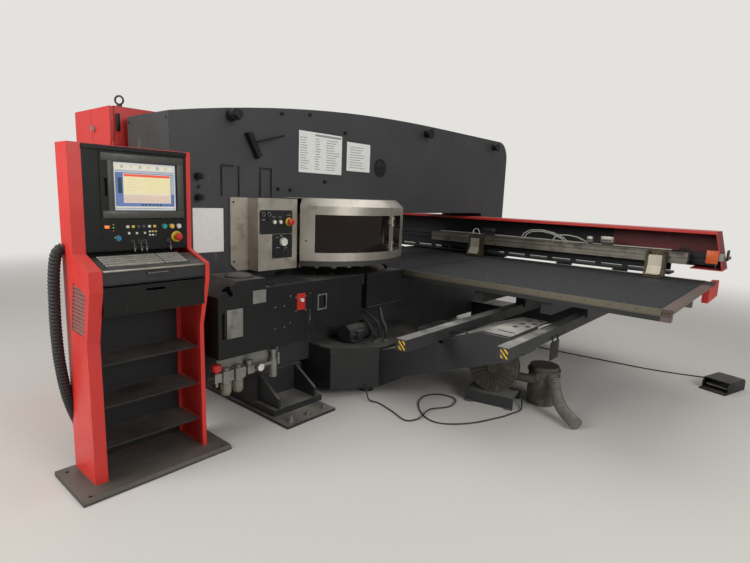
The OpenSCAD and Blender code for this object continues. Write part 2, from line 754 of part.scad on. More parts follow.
// Arc guard: a swinging door and a fixed end panel, and the same arc on the far side
hinge_r = guard_r + 9;
hinge_pin_r = 4;
hinge_barrel_r = 8;
hinge_z = [window_bottom + 20, window_top - 60];
seam_gap = 0.35;
second_window = [door_to + 3, panel_to - 8];
function guard_profile() = [[guard_r - guard_t, guard_bottom], [guard_r, guard_bottom],
    [guard_r, guard_ridge], [guard_r - guard_inset, guard_top],
    [guard_r - guard_inset - guard_t, guard_top], [guard_r - guard_t, guard_ridge - 2]];
module arc(from, to, points) {
    rotate([0, 0, from]) rotate_extrude(angle = to - from, $fn = 96) polygon(points);
}
module arc_window(from, to, grow) {
    arc(from, to, [[guard_r - guard_t - grow, window_bottom], [guard_r + grow, window_bottom],
        [guard_r + grow, window_top], [guard_r - guard_t - grow, window_top]]);
}
module guard_skirt(from, to) {
    arc(from, to, [[guard_r - guard_t - 2, guard_bottom - skirt_h], [guard_r - 2, guard_bottom - skirt_h],
        [guard_r - 2, guard_bottom + 1], [guard_r - guard_t - 2, guard_bottom + 1]]);
}
module hinge_barrel(z, bore) {
    translate([0, 0, z[0]]) rotate([0, 0, door_to]) translate([hinge_r, 0, 0]) difference() {
        cylinder(h = z[1] - z[0], r = hinge_barrel_r, $fn = 32);
        if (bore) translate([0, 0, -eps]) cylinder(h = z[1] - z[0] + 2 * eps, r = hinge_pin_r + run_gap, $fn = 32);
    }
}
module guard_door() {
    color("#b5b0a5") {
        difference() {
            arc(door_from, door_to - seam_gap, guard_profile());
            arc_window(window_from, door_to - 1.6, eps);
            rotate([0, 0, door_from + 3.6]) rod_x([guard_r - 20, guard_r + 20], 0,
                (window_bottom + window_top) / 2 - 50, 6);
        }
        guard_skirt(door_from, door_to - seam_gap);
        for (z = hinge_z) difference() {
            union() {
                hinge_barrel([z, z + 30], false);
                rotate([0, 0, door_to]) block([guard_r - seat_gap, hinge_r], [-34, -5], [z, z + 30]);
                rotate([0, 0, door_to]) block([guard_r + 5, hinge_r + 4], [-34, 0], [z, z + 30]);
            }
            rotate([0, 0, door_to]) rod_z(hinge_r, 0, [z - eps, z + 31], hinge_pin_r + run_gap);
        }
    }
}
module guard_window() {
    color("#241c1c") arc(window_from + 0.04, door_to - 1.64,
        [[guard_r - guard_t, window_bottom + seat_gap], [guard_r - 1, window_bottom + seat_gap],
         [guard_r - 1, window_top - seat_gap], [guard_r - guard_t, window_top - seat_gap]]);
}
module guard_roof() {
    intersection() {
        rod_z(0, 0, [guard_top - guard_t, guard_top], guard_r - guard_inset - guard_t - seat_gap);
        along_z([[half_w, -guard_r], [guard_r, -guard_r], [guard_r, guard_r], [half_w, guard_r]],
            [guard_top - 20, guard_top + 20]);
    }
}
module guard_panels() {
    color("#b5b0a5") {
        difference() {
            arc(door_to, panel_to, guard_profile());
            arc_window(second_window[0], second_window[1], eps);
        }
        guard_skirt(door_to, panel_to);
        rotate([0, 0, panel_to]) block([turret_clear, guard_r], [-guard_t, 0], [guard_bottom, guard_ridge]);
        for (z = hinge_z) for (side = [[z - 20, z - seat_gap], [z + 30 + seat_gap, z + 50]]) {
            hinge_barrel(side, false);
            rotate([0, 0, door_to]) block([guard_r - 2, hinge_r], [0, 34], side);
        }
        for (z = hinge_z) rotate([0, 0, door_to]) rod_z(hinge_r, 0, [z - 20, z + 50], hinge_pin_r);
        guard_roof();
        rotate([0, 0, panel_to - 6]) block([guard_r - guard_inset - guard_t - 4, guard_r - guard_inset + 8],
            [-30, 30], [guard_top - guard_t - 6, guard_top - guard_t]);
        mirror([1, 0, 0]) {
            arc(door_from, panel_to, guard_profile());
            guard_skirt(door_from, panel_to);
            guard_roof();
            rotate([0, 0, panel_to - 6]) block([guard_r - guard_inset - guard_t - 4, guard_r - guard_inset + 8],
                [-30, 30], [guard_top - guard_t - 6, guard_top - guard_t]);
        }
    }
}

// Sheet covers round the lower turret: a front one, a middle one and a rear box
front_shell = [[-lower_left, lower_z1], [-lower_left, lower_raised - 85], [-lower_left + 131, lower_raised],
    [-lower_left + 329, lower_raised], [-lower_left + 329, pass_z], [-lower_split - 1, pass_z],
    [-lower_split - 1, lower_z1]];
front_hollow = [[lower_t - lower_left, lower_z1 - eps], [lower_t - lower_left, lower_raised - 88],
    [-lower_left + 133, lower_raised - lower_t], [-lower_left + 329 - lower_t, lower_raised - lower_t],
    [-lower_left + 329 - lower_t, pass_z - lower_t], [-lower_split - 1 - lower_t, pass_z - lower_t],
    [-lower_split - 1 - lower_t, lower_z1 - eps]];
module cover_box(y, z0) {
    difference() {
        block([half_w, lower_x], y, [z0, pass_z]);
        block([half_w - eps, lower_x - lower_t], [y[0] + lower_t, y[1] - lower_t], [z0 - eps, pass_z - lower_t]);
    }
}
module turret_space() {
    rod_z(0, 0, [bed_top, pass_z + eps], turret_clear);
}
module dome(x, y, z, r, h) {
    translate([x, y, z]) rotate_extrude($fn = 48)
        polygon(concat([[0, -1], [r, -1]], [for (a = [0:15:75]) [r * cos(a), h * sin(a)]], [[0, h]]));
}
slit_y = [-545, -467];
slit_z = [723, 825];
module lower_covers() {
    color("#343536") {
        difference() {
            along_x(front_shell, [half_w, lower_x]);
            along_x(front_hollow, [half_w - eps, lower_x - lower_t]);
            block([lower_x - lower_t - eps, lower_x + eps], [-lower_left + 24, -lower_left + 41], [648, 805]);
            translate([lower_x - 22, -lower_left + 74, lower_raised - 60]) rotate([33, 0, 0])
                cylinder(h = 60, r = 26, center = true, $fn = 32);
        }
        dome(half_w + 190, -lower_left + 234, lower_raised, 88, 26);
        difference() {
            union() {
                cover_box([-lower_split + 1, -lower_middle_end], lower_z2);
                block([lower_x - eps, lower_x + 3], slit_y, slit_z);
            }
            turret_space();
            block([lower_x - lower_t - eps, lower_x + 4], [slit_y[1] - 26, slit_y[1] - 12],
                [slit_z[0] + 12, slit_z[1] - 12]);
        }
        difference() {
            union() {
                cover_box([-lower_rear_start, lower_rear_end], lower_z3);
                block([lower_x - eps, lower_x + 9], [-lower_rear_start, lower_rear_end],
                    [lower_z3, lower_z3 + 12]);
            }
            turret_space();
        }
        mirror([1, 0, 0]) difference() {
            cover_box([-throat_front - 40, lower_rear_end], lower_z3);
            turret_space();
        }
    }
}
module brush_strips() {
    strip_y = [-lower_left + 386, -lower_split - 8];
    rows = 16;
    color("#101112") {
        block([half_w + 20, lower_x - 6], strip_y, [pass_z, pass_z + 5]);
        for (i = [0:rows - 1]) let (y = strip_y[0] + (strip_y[1] - strip_y[0] - 10) * i / (rows - 1))
            block([half_w + 24, lower_x - 10], [y, y + 10], [pass_z + 4, pass_z + 12 + 3 * (i % 3)]);
    }
}
switch_y = -696;
switch_z = 800;
module switch_plate() {
    color("#b8241e") difference() {
        block([lower_x, lower_x + 4], [switch_y - 35, switch_y + 35], [switch_z - 55, switch_z + 55]);
        rod_x([lower_x - eps, lower_x + 5], switch_y, switch_z + 12, 6 + seat_gap);
    }
}
module turn_knob(x, y, z, r, h, stem) {
    difference() {
        rod_x([x + seat_gap, x + h], y, z, r);
        block([x + h - 2, x + h + eps], [y - 1.5, y + 1.5], [z, z + r + eps]);
    }
    rod_x([x - 3, x + 2], y, z, stem);
}
module switch_knob() {
    color("#e6e4df") turn_knob(lower_x + 4, switch_y, switch_z + 12, 12, 16, 6);
}

// Stainless control box on the side plate
box_face_y = [-box_left, -box_right];
estop_y = -636;
estop_z = 1309;
box_button_y = [-760, -710];
selector_y = -685;
selector_z = 1176;
dial_y = -661;
dial_z = 1106;
key_y = [-852, -806];
key_z = 1360;
module control_box() {
    color("#b5b0a5") difference() {
        union() {
            along_x([[-box_strip, box_bottom + 45], [-box_strip, box_top], [-box_left, box_top],
                [-box_left, box_bottom], [-box_strip + 45, box_bottom]], [half_w, half_w + box_strip_t]);
            block([half_w, box_x], box_face_y, [box_bottom, box_top]);
            block([box_x - eps, box_x + 2], [-box_left + 8, -606], [1231, 1387]);
            block([box_x - eps, box_x + 2], [-776, -606], [1067, 1229]);
            for (y = key_y) rod_x([box_x, box_x + 12], y, key_z, 13);
            rod_x([box_x, box_x + 12], -806, key_z - 38, 9);
            rod_x([box_x, box_x + 6], -756, 1179, 10);
            block([box_x, box_x + 6], [-762, -700], [1090, 1126]);
        }
        block([half_w - eps, box_x - 4], [4 - box_left, -box_right - 4], [box_bottom + 4, box_top - 4]);
        rod_x([box_x - 5, box_x + 3], estop_y, estop_z, 8 + seat_gap);
        for (y = box_button_y) rod_x([box_x - 5, box_x + 3], y, estop_z, button_r * 0.5 + seat_gap);
        rod_x([box_x - 5, box_x + 3], selector_y, selector_z, 8 + seat_gap);
        rod_x([box_x - 5, box_x + 3], dial_y, dial_z, 6 + seat_gap);
        for (z = [box_bottom + 60, box_top - 30])
            rod_x([half_w - eps, half_w + box_strip_t + eps], -box_strip + 22, z, 5);
    }
}
// Push buttons and mushroom buttons: the cap stands off the face, the stem enters its hole
module push_button(x, y, z, r) {
    rod_x([x + button_travel + seat_gap, x + button_travel + 8], y, z, r);
    rod_x([x - 8, x + button_travel + 4], y, z, r * 0.5);
}
module mushroom(x, y, z, r) {
    translate([x + 20, y, z]) rotate([0, 90, 0]) rotate_extrude($fn = 48)
        polygon([[0, -12], [r * 0.55, -12], [r * 0.55, -2], [r * 0.9, 0], [r, 6], [r * 0.95, 14],
            [r * 0.6, 19], [0, 20]]);
    rod_x([x - 8, x + 10], y, z, 8);
}
module box_estop() {
    color("#c62a22") mushroom(box_x + 2, estop_y, estop_z, mushroom_r + 4);
}
module box_button_left() {
    color("#efeee9") push_button(box_x + 2, box_button_y[0], estop_z, button_r);
}
module box_button_right() {
    color("#efeee9") push_button(box_x + 2, box_button_y[1], estop_z, button_r);
}
module box_selector() {
    color("#c9c7c0") turn_knob(box_x + 2, selector_y, selector_z, 26, 18, 8);
}
module box_dial() {
    color("#191919") turn_knob(box_x + 2, dial_y, dial_z, 18, 20, 6);
}

// Air service unit below the front cover: valve, filter, oiler, regulator and pressure gauge
air_x = 500;
air_z = 398;
air_valve_y = -1270;
bowl_y = [-1206, -1121];
gauge_y = -986;
elbow_y = -850;
module air_unit() {
    color("#9a9a94") {
        block([half_w, air_x - 28], [air_valve_y + 20, elbow_y + 60], [lower_z1 - 26, lower_z1 - 20]);
        block([air_x - 34, air_x - 28], [air_valve_y + 20, elbow_y + 60], [air_z - 30, lower_z1 - 20]);
        rod_y(air_x, [air_valve_y, elbow_y], air_z, 14);
        block([air_x - 29, air_x + 24], [air_valve_y - 24, air_valve_y + 24], [air_z - 30, air_z + 24]);
        rod_z(air_x, air_valve_y, [air_z - 62, air_z - 30], 10);
        for (y = bowl_y) {
            block([air_x - 29, air_x + 32], [y - 36, y + 36], [air_z - 34, air_z + 32]);
            rod_z(air_x, y, [air_z - 46, air_z - 34], 36);
            rod_z(air_x, y, [air_z + 32, air_z + 44], 20);
        }
        block([air_x - 29, air_x + 28], [gauge_y - 80, gauge_y - 30], [air_z - 26, air_z + 26]);
        rod_z(air_x, gauge_y - 55, [air_z + 26, air_z + 58], 22);
        block([air_x - 29, air_x + 20], [gauge_y - 24, gauge_y + 24], [air_z - 20, air_z + 22]);
        rod_x([air_x + 20, air_x + 34], gauge_y, air_z + 8, 8);
        rod_x([air_x + 34, air_x + 56], gauge_y, air_z + 8, 26);
        rod_z(air_x, elbow_y, [air_z - 96, air_z + 30], 26);
        rod_z(air_x, elbow_y, [air_z + 29, air_z + 70], 18);
        rod_z(air_x, elbow_y, [air_z + 70, air_z + 92], 24);
        rod_z(air_x, elbow_y + 42, [air_z - 20, air_z + 60], 10);
        rod_y(air_x, [elbow_y, elbow_y + 42], air_z + 20, 8);
    }
}
module air_bowls() {
    color("#c9c3a4") for (y = bowl_y) translate([air_x, y, air_z - 46]) rotate([180, 0, 0])
        rotate_extrude($fn = 32) polygon([[0, 0], [32, 0], [32, 62], [26, 78], [12, 86], [0, 86]]);
}
module air_knob() {
    color("#b8241e") {
        rod_z(air_x, air_valve_y, [air_z + 24 + seat_gap, air_z + 42], 14);
        difference() {
            rod_z(air_x, air_valve_y, [air_z + 40, air_z + 76], 30);
            for (a = [0:30:330]) rotate_about(air_x, air_valve_y, a)
                rod_z(34, 0, [air_z + 39, air_z + 77], 6);
        }
    }
}
module rotate_about(x, y, a) {
    translate([x, y, 0]) rotate([0, 0, a]) children();
}

// Electrical cabinet beside the nose, with a pair of doors
cabinet_x = [-cabinet_side - cabinet_w, -cabinet_side];
cabinet_mid = -cabinet_side - cabinet_w * 0.5;
cabinet_body_y = [cabinet_door_t + door_gap - cabinet_front, cabinet_d - cabinet_front];
plinth_h = 80;
door_pin_x = 8;
door_pin_y = 13;
cabinet_hinges = [260, 1000, 1720];
module from_cabinet_middle(side) {
    translate([cabinet_mid, 0, 0]) mirror([side < 0 ? 1 : 0, 0, 0]) translate([cabinet_w / 2, 0, 0]) children();
}
module cabinet_lugs() {
    for (z = cabinet_hinges) {
        rod_z(door_pin_x, door_pin_y - cabinet_front, [z - 22, z + 62], hinge_pin_r);
        for (lug = [[z - 22, z - seat_gap], [z + 40 + seat_gap, z + 62]]) {
            block([0.5, door_pin_x + 6], [door_pin_y - cabinet_front - 7, cabinet_body_y[0] + 14], lug);
            block([-3, 2], [cabinet_body_y[0] + 1, cabinet_body_y[0] + 14], lug);
        }
    }
}
module cabinet_body() {
    rows_z = [360, 760, 1160, 1560];
    color("#c8322e") {
        difference() {
            block(cabinet_x, cabinet_body_y, [0, cabinet_h]);
            block([cabinet_x[0] + cabinet_t, cabinet_x[1] - cabinet_t],
                [cabinet_body_y[0] - eps, cabinet_body_y[1] - cabinet_t], [plinth_h, cabinet_h - cabinet_t]);
        }
        for (side = [-1, 1]) from_cabinet_middle(side) cabinet_lugs();
        block([cabinet_x[0] + 30, cabinet_x[1] - 30], [cabinet_body_y[1] - 24, cabinet_body_y[1] - cabinet_t + 1],
            [plinth_h + 40, cabinet_h - 60]);
        for (z = rows_z) for (i = [0:5])
            block([cabinet_x[0] + 60 + i * 80, cabinet_x[0] + 124 + i * 80],
                [cabinet_body_y[1] - 140, cabinet_body_y[1] - 23], [z, z + 190]);
    }
}
module cabinet_leaf() {
    difference() {
        union() {
            block([2 - cabinet_w / 2, -1], [-cabinet_front, cabinet_door_t - cabinet_front],
                [plinth_h + 6, cabinet_h - 4]);
            for (z = cabinet_hinges) {
                rod_z(door_pin_x, door_pin_y - cabinet_front, [z, z + 40], hinge_barrel_r);
                block([-6, door_pin_x], [door_pin_y - cabinet_front - 7, door_pin_y - cabinet_front + 5], [z, z + 40]);
            }
        }
        for (z = cabinet_hinges) {
            rod_z(door_pin_x, door_pin_y - cabinet_front, [z - eps, z + 41], hinge_pin_r + run_gap);
            for (lug = [[z - 24, z], [z + 40, z + 64]])
                block([-0.5 - door_pin_x, 2], [-cabinet_front - eps, 0], [lug[0], lug[1]]);
        }
    }
}
module cabinet_door_left() {
    color("#c8322e") from_cabinet_middle(-1) cabinet_leaf();
}
module cabinet_door_right() {
    color("#c8322e") from_cabinet_middle(1) {
        cabinet_leaf();
        rod_y(40 - cabinet_w / 2, [-cabinet_front - 10, 1 - cabinet_front], cabinet_h - 130, 16);
        block([34 - cabinet_w / 2, 46 - cabinet_w / 2], [-cabinet_front - 22, -cabinet_front - 9],
            [cabinet_h - 150, cabinet_h - 110]);
    }
}

// Control console: floor plate, two profiled side panels, shelves, and louvres in the left panel
console_right = console_left - console_w;
console_y = [-console_left, -console_right];
function console_front(d) = [[console_back, console_plate_t - eps], [console_back, console_h],
    [console_top_x - d, console_h], [console_top_x - 5 - d, tray_z + 62], [console_knee_x - d, tray_z],
    [console_knee_x - 2 - d, tray_z - 97], [console_knee_x - 70 - d, 750],
    [console_knee_x - 60 - d, console_plate_t - eps]];
function console_inside(d) = [[console_back - eps, console_plate_t + console_t],
    [console_back - eps, console_h - console_t], [console_top_x - d, console_h - console_t],
    [console_top_x - 5 - d, tray_z + 55], [console_knee_x - d, tray_z - 8],
    [console_knee_x - 2 - d, tray_z - 95], [console_knee_x - 70 - d, 752],
    [console_knee_x - 60 - d, console_plate_t + console_t]];
vent = [[409, 1033], [555, 997], [510, 779], [354, 787]];
louvres = 13;
module console_side(y, skin) {
    difference() {
        along_y(console_front(0), y);
        along_y(console_inside(post_d), skin);
    }
}
module console_body() {
    plate_mid_x = (console_back + console_plate_x) / 2;
    plate_mid_y = (console_y[0] + console_y[1]) / 2;
    inner_y = [console_y[0] + console_t - 1, console_y[1] - console_t + 1];
    color("#d8312a") {
        difference() {
            along_y([[half_w + 5, 0], [half_w + 5, console_plate_t], [console_plate_x - 14, console_plate_t],
                [console_plate_x, console_plate_t - 12], [console_plate_x, 0]],
                [plate_mid_y - console_plate_len / 2, plate_mid_y + console_plate_len / 2]);
            for (x = [-0.5, 0.5], y = [-0.5, 0.5])
                rod_z(plate_mid_x + x * console_hole_dx, plate_mid_y + y * console_hole_dy,
                    [-eps, console_plate_t + eps], 9);
        }
        difference() {
            console_side([console_y[0], console_y[0] + left_post_w],
                [console_y[0] + console_t, console_y[0] + left_post_w + eps]);
            along_y(vent, [console_y[0] - eps, console_y[0] + console_t + eps]);
        }
        intersection() {
            along_y(vent, [console_y[0], console_y[0] + 20]);
            union() for (i = [0:louvres])
                along_x([[console_y[0] + 0.5, 775 + i * 20], [console_y[0] + 16, 787 + i * 20],
                    [console_y[0] + 16, 790 + i * 20], [console_y[0] + 0.5, 778 + i * 20]], [340, 570]);
        }
        for (corner = vent) block([corner[0] - 8, corner[0] + 8], [console_y[0] + 3, console_y[0] + 18],
            [corner[1] - 8, corner[1] + 8]);
        console_side([console_y[1] - right_post_w, console_y[1]],
            [console_y[1] - right_post_w - eps, console_y[1] - console_t]);
        block([console_back, console_back + console_t], inner_y, [console_plate_t - 1, console_h]);
        block([console_back, console_top_x - 6], inner_y, [console_h - console_t, console_h]);
        for (z = shelf_z) block([console_back + 1, console_knee_x - 72 - post_d], inner_y, [z - 8, z]);
        block([console_back + 1, console_knee_x - 40], inner_y, [drawer_z[0] - 8, drawer_z[0] - seat_gap]);
        block([console_back + 1, console_knee_x - 30], inner_y, [drawer_z[1] + 4, tray_bottom - seat_gap]);
    }
}
tray_bottom = tray_z - tray_h;
drawer_z = [tray_bottom - drawer_h - 10, tray_bottom - 10];
slot_y = [console_y[0] + left_post_w + seat_gap, console_y[1] - right_post_w - seat_gap];
tray_front_x = console_knee_x - 6;

// Black front of the console: screen opening, button panel and fixed switches
screen_y = [-1780, -1453];
screen_z = [1382, 1624];
panel_bottom = tray_z + 68;
teal_y = -1529;
yellow_y = -1489;
white_y = -1449;
blue_y = -1771;
console_estop_y = -1462;
row_z = 1300;
low_row_z = 1243;
module console_panel() {
    color("#232422") difference() {
        union() {
            block([panel_x - 22, panel_x], slot_y, [panel_bottom, console_h - console_t - seat_gap]);
            block([panel_x - eps, panel_x + 8], [screen_y[0] - 66, slot_y[1] - 16], [1342, 1667]);
            block([panel_x - eps, panel_x + 4], [screen_y[0] - 66, slot_y[1] - 16], [panel_bottom + 4, 1338]);
            block([panel_x - eps, panel_x + 12], slot_y, [1676, console_h - console_t - seat_gap]);
            for (y = [-1702, -1666, -1640, -1509]) {
                rod_x([panel_x, panel_x + 10], y, low_row_z - 20, 8);
                block([panel_x + 8, panel_x + 22], [y - 1.5, y + 1.5], [low_row_z - 26, low_row_z - 14]);
            }
            for (y = [-1724:28:-1580]) block([panel_x, panel_x + 8], [y - 8, y + 8], [row_z - 6, row_z + 8]);
            for (y = [-1610:16:-1570], z = [row_z - 26, row_z - 44])
                block([panel_x, panel_x + 7], [y - 6, y + 6], [z - 5, z + 5]);
            block([panel_x, panel_x + 8], [-1836, -1812], [row_z - 8, row_z + 10]);
        }
        block([panel_x - 18, panel_x + 9], screen_y, screen_z);
        block([panel_x - 10, panel_x + 9], [screen_y[0] - 48, screen_y[0] - 34], [1453, 1539]);
        for (y = [teal_y, yellow_y, white_y])
            rod_x([panel_x - 23, panel_x + 5], y, row_z, button_r * 0.5 + seat_gap);
        rod_x([panel_x - 23, panel_x + 5], blue_y, low_row_z, button_r * 0.5 + seat_gap);
        rod_x([panel_x - 23, panel_x + 5], console_estop_y, low_row_z, 8 + seat_gap);
    }
}
module screen() {
    color("#8fa3c4") block([panel_x - 18 + seat_gap, panel_x - 6],
        [screen_y[0] + seat_gap, screen_y[1] - seat_gap], [screen_z[0] + seat_gap, screen_z[1] - seat_gap]);
}
module console_estop() {
    color("#c62a22") mushroom(panel_x + 4, console_estop_y, low_row_z, mushroom_r);
}
module power_button() {
    color("#2f7fa8") push_button(panel_x + 4, blue_y, low_row_z, button_r);
}
module start_button() {
    color("#1e9a93") push_button(panel_x + 4, teal_y, row_z, button_r);
}
module hold_button() {
    color("#e0c060") push_button(panel_x + 4, yellow_y, row_z, button_r);
}
module reset_button() {
    color("#efeee9") push_button(panel_x + 4, white_y, row_z, button_r);
}

// Keyboard tray with rows of keys, and the drawer below it
key_rows = 5;
tray_back_x = panel_x + 22;
function tray_top(x) = tray_z + 3 + (tray_front_x - 12 - x) * 0.28;
module keyboard_tray() {
    key_pitch = (tray_front_x - 30 - tray_back_x) / key_rows;
    color("#17181a") {
        along_y([[tray_back_x, tray_bottom], [tray_front_x, tray_bottom], [tray_front_x, tray_z - 2],
            [tray_front_x - 12, tray_z + 3], [tray_back_x, tray_top(tray_back_x)]],
            [slot_y[0] + 2, slot_y[1] - 2]);
        for (i = [0:key_rows - 1]) let (x = tray_back_x + 10 + i * key_pitch)
            along_y([[x, tray_top(x) - 2], [x + 1, tray_top(x) + 7],
                [x + key_pitch - 6, tray_top(x + key_pitch - 5) + 6], [x + key_pitch - 4, tray_top(x + key_pitch) - 2]],
                [slot_y[0] + 30, slot_y[1] - 70]);
        block([tray_front_x - eps, tray_front_x + 5], [slot_y[0] + 2, slot_y[1] - 2], [tray_z - 14, tray_z - 4]);
        for (y = [-1704, -1622]) block([tray_front_x - eps, tray_front_x + 18], [y, y + 6],
            [tray_z - 34, tray_z - 26]);
        block([tray_front_x + 14, tray_front_x + 22], [-1710, -1610], [tray_z - 35, tray_z - 25]);
    }
}
module drawer() {
    drawer_x = [console_back + 40, tray_front_x - 4];
    color("#2a2b2c") difference() {
        block(drawer_x, [slot_y[0] + 2, slot_y[1] - 2], drawer_z);
        block([drawer_x[0] + 4, drawer_x[1] - 6], [slot_y[0] + 6, slot_y[1] - 6],
            [drawer_z[0] + 4, drawer_z[1] + eps]);
        block([drawer_x[1] - 7, drawer_x[1] + eps], [-1718, -1619], [drawer_z[1] - 34, drawer_z[1] - 20]);
    }
}

// Paths of the hoses and cords, and the tube that follows one
conduit_route = [[306, -1983, 1195], [303, -2014, 1165], [300, -2030, 1060], [300, -2036, 900],
    [298, -2036, 760], [290, -2026, 600], [282, -2000, 420], [262, -1950, 260], [220, -1880, 120],
    [120, -1760, 50], [0, -1620, 36], [-150, -1480, 36], [-240, -1370, 60], [-290, -1310, 112], [-328, -1300, 120]];
hose_route = [[1772, 695, 232], [1794, 676, 222], [1824, 644, 190], [1868, 594, 134], [1928, 547, 86],
    [1993, 512, 58], [2050, 470, 46]];
blower_cord_route = [[1433, 600, 110], [1500, 622, 99], [1575, 642, 90], [1604, 600, 30], [1642, 500, 7],
    [1620, 380, 6], [1594, 279, 6], [1494, 41, 6], [1349, -106, 6],
    [1208, -94, 6], [1056, 43, 6], [998, 199, 6], [1062, 322, 6], [1197, 323, 6], [1242, 184, 6],
    [1180, 33, 12], [1195, -70, 17], [1207, -163, 10], [1153, -240, 6], [999, -191, 6], [840, -150, 6],
    [760, -168, 14], [700, -134, 60], [661, -107, 92]];
pedal_cord_route = [[2715, 2347, 30], [2722, 2385, 16], [2690, 2425, 7], [2600, 2430, 6], [2478, 2395, 6], [2330, 2343, 6], [2177, 2295, 6],
    [2015, 2262, 6], [1843, 2245, 6], [1664, 2227, 6], [1477, 2208, 6], [1282, 2188, 6], [1000, 2180, 6],
    [800, 2190, 20], [745, 2200, 80], [719, 2205, 130]];
function unit(v) = v / norm(v);
function smooth(p, n) = concat([for (i = [0:len(p) - 2]) for (j = [0:n - 1])
    let (t = j / n, a = p[max(i - 1, 0)], b = p[i], c = p[i + 1], d = p[min(i + 2, len(p) - 1)])
    0.5 * (2 * b + (c - a) * t + (2 * a - 5 * b + 4 * c - d) * t * t + (3 * b - a - 3 * c + d) * t * t * t)],
    [p[len(p) - 1]]);
module tube(path, r, sides, up) {
    n = len(path);
    rings = [for (i = [0:n - 1])
        let (t = unit(path[min(i + 1, n - 1)] - path[max(i - 1, 0)]), s = unit(cross(t, up)), v = cross(s, t))
        [for (k = [0:sides - 1]) path[i] + r * (cos(360 * k / sides) * s + sin(360 * k / sides) * v)]];
    polyhedron([for (ring = rings) each ring], concat([[for (k = [sides - 1:-1:0]) k]],
        [for (i = [0:n - 2]) for (k = [0:sides - 1]) let (m = (k + 1) % sides)
            [i * sides + k, i * sides + m, (i + 1) * sides + m, (i + 1) * sides + k]],
        [[for (k = [0:sides - 1]) (n - 1) * sides + k]]));
}
module console_conduit() {
    color("#1b1b1b") tube(smooth(conduit_route, 4), 28, 10, [1, 0, 0]);
}
module blower_hose() {
    color("#6a655c") tube(smooth(hose_route, 2), 44, 12, [0, 0, 1]);
}
module blower_cord() {
    color("#161616") tube(smooth(blower_cord_route, 3), 5, 8, [0, 0, 1]);
}
module pedal_cord() {
    color("#161616") tube(smooth(pedal_cord_route, 2), 5, 8, [0, 0, 1]);
}

// Vacuum blower on its channel stand, with the canister behind it
stand_h = 85;
stand_len = 362;
stand_d = 240;
fan_y = 100;
fan_z = stand_h + fan_r + 3;
fan_fins = 24;
canister_x = 334;
canister_y = 272;
pipe_x = 270;
pipe_z = fan_z - 50;
pipe_r = 32;
pipe_end = canister_y - sqrt(pow(canister_r, 2) - pow(canister_x - pipe_x - pipe_r, 2)) - seat_gap;
module blower_place() {
    translate([1418, 428, 0]) rotate([0, 0, 12.5]) children();
}
module blower_stand() {
    color("#262626") blower_place() {
        block([-stand_len / 2, stand_len / 2], [0, stand_d], [stand_h - 6, stand_h]);
        for (y = [0, stand_d - 6]) block([-stand_len / 2, stand_len / 2], [y, y + 6], [0, stand_h]);
        for (x = [-stand_len / 2, stand_len / 2 - 60]) block([x, x + 60], [-20, 0.5], [0, 6]);
    }
}
module blower() {
    color("#4c4842") blower_place() {
        difference() {
            union() {
                rod_y(0, [fan_y - 36, fan_y + 60], fan_z, fan_r - 6);
                rod_y(0, [fan_y - 50, fan_y - 35], fan_z, fan_r * 0.22);
                rod_y(0, [fan_y - 44, fan_y - 35], fan_z, fan_r);
            }
            difference() {
                rod_y(0, [fan_y - 45, fan_y - 38], fan_z, fan_r - 12);
                rod_y(0, [fan_y - 46, fan_y - 37], fan_z, fan_r * 0.2);
                for (a = [0:360 / fan_fins:359]) translate([0, fan_y - 45, fan_z]) rotate([0, a, 0])
                    block([0, fan_r - 6], [0, 8], [-2, 2]);
            }
        }
        rod_y(0, [fan_y + 59, fan_y + 210], fan_z, fan_r * 0.62);
        for (a = [0:20:340]) translate([0, fan_y + 70, fan_z]) rotate([0, a, 0])
            block([fan_r * 0.55, fan_r * 0.7], [0, 120], [-3, 3]);
        block([-60, 60], [fan_y - 30, stand_d - 10], [stand_h, fan_z - fan_r * 0.5]);
        rod_x([fan_r * 0.7, pipe_x + pipe_r], fan_y + 20, pipe_z, pipe_r);
        rod_y(pipe_x, [fan_y + 20, pipe_end], pipe_z, pipe_r);
    }
}
module canister() {
    blower_place() translate([canister_x, canister_y, 0]) color("#5a554d") {
        rod_z(0, 0, [0, 34], canister_r - 18);
        rod_z(0, 0, [34, canister_h - 40], canister_r);
        rod_z(0, 0, [canister_h - 40, canister_h - 28], canister_r + 10);
        rod_z(0, 0, [canister_h - 28, canister_h], canister_r - 4);
        rotate([0, 0, -51.5]) rod_x([canister_r - 20, canister_r + 8], 0, 232, 40);
    }
}

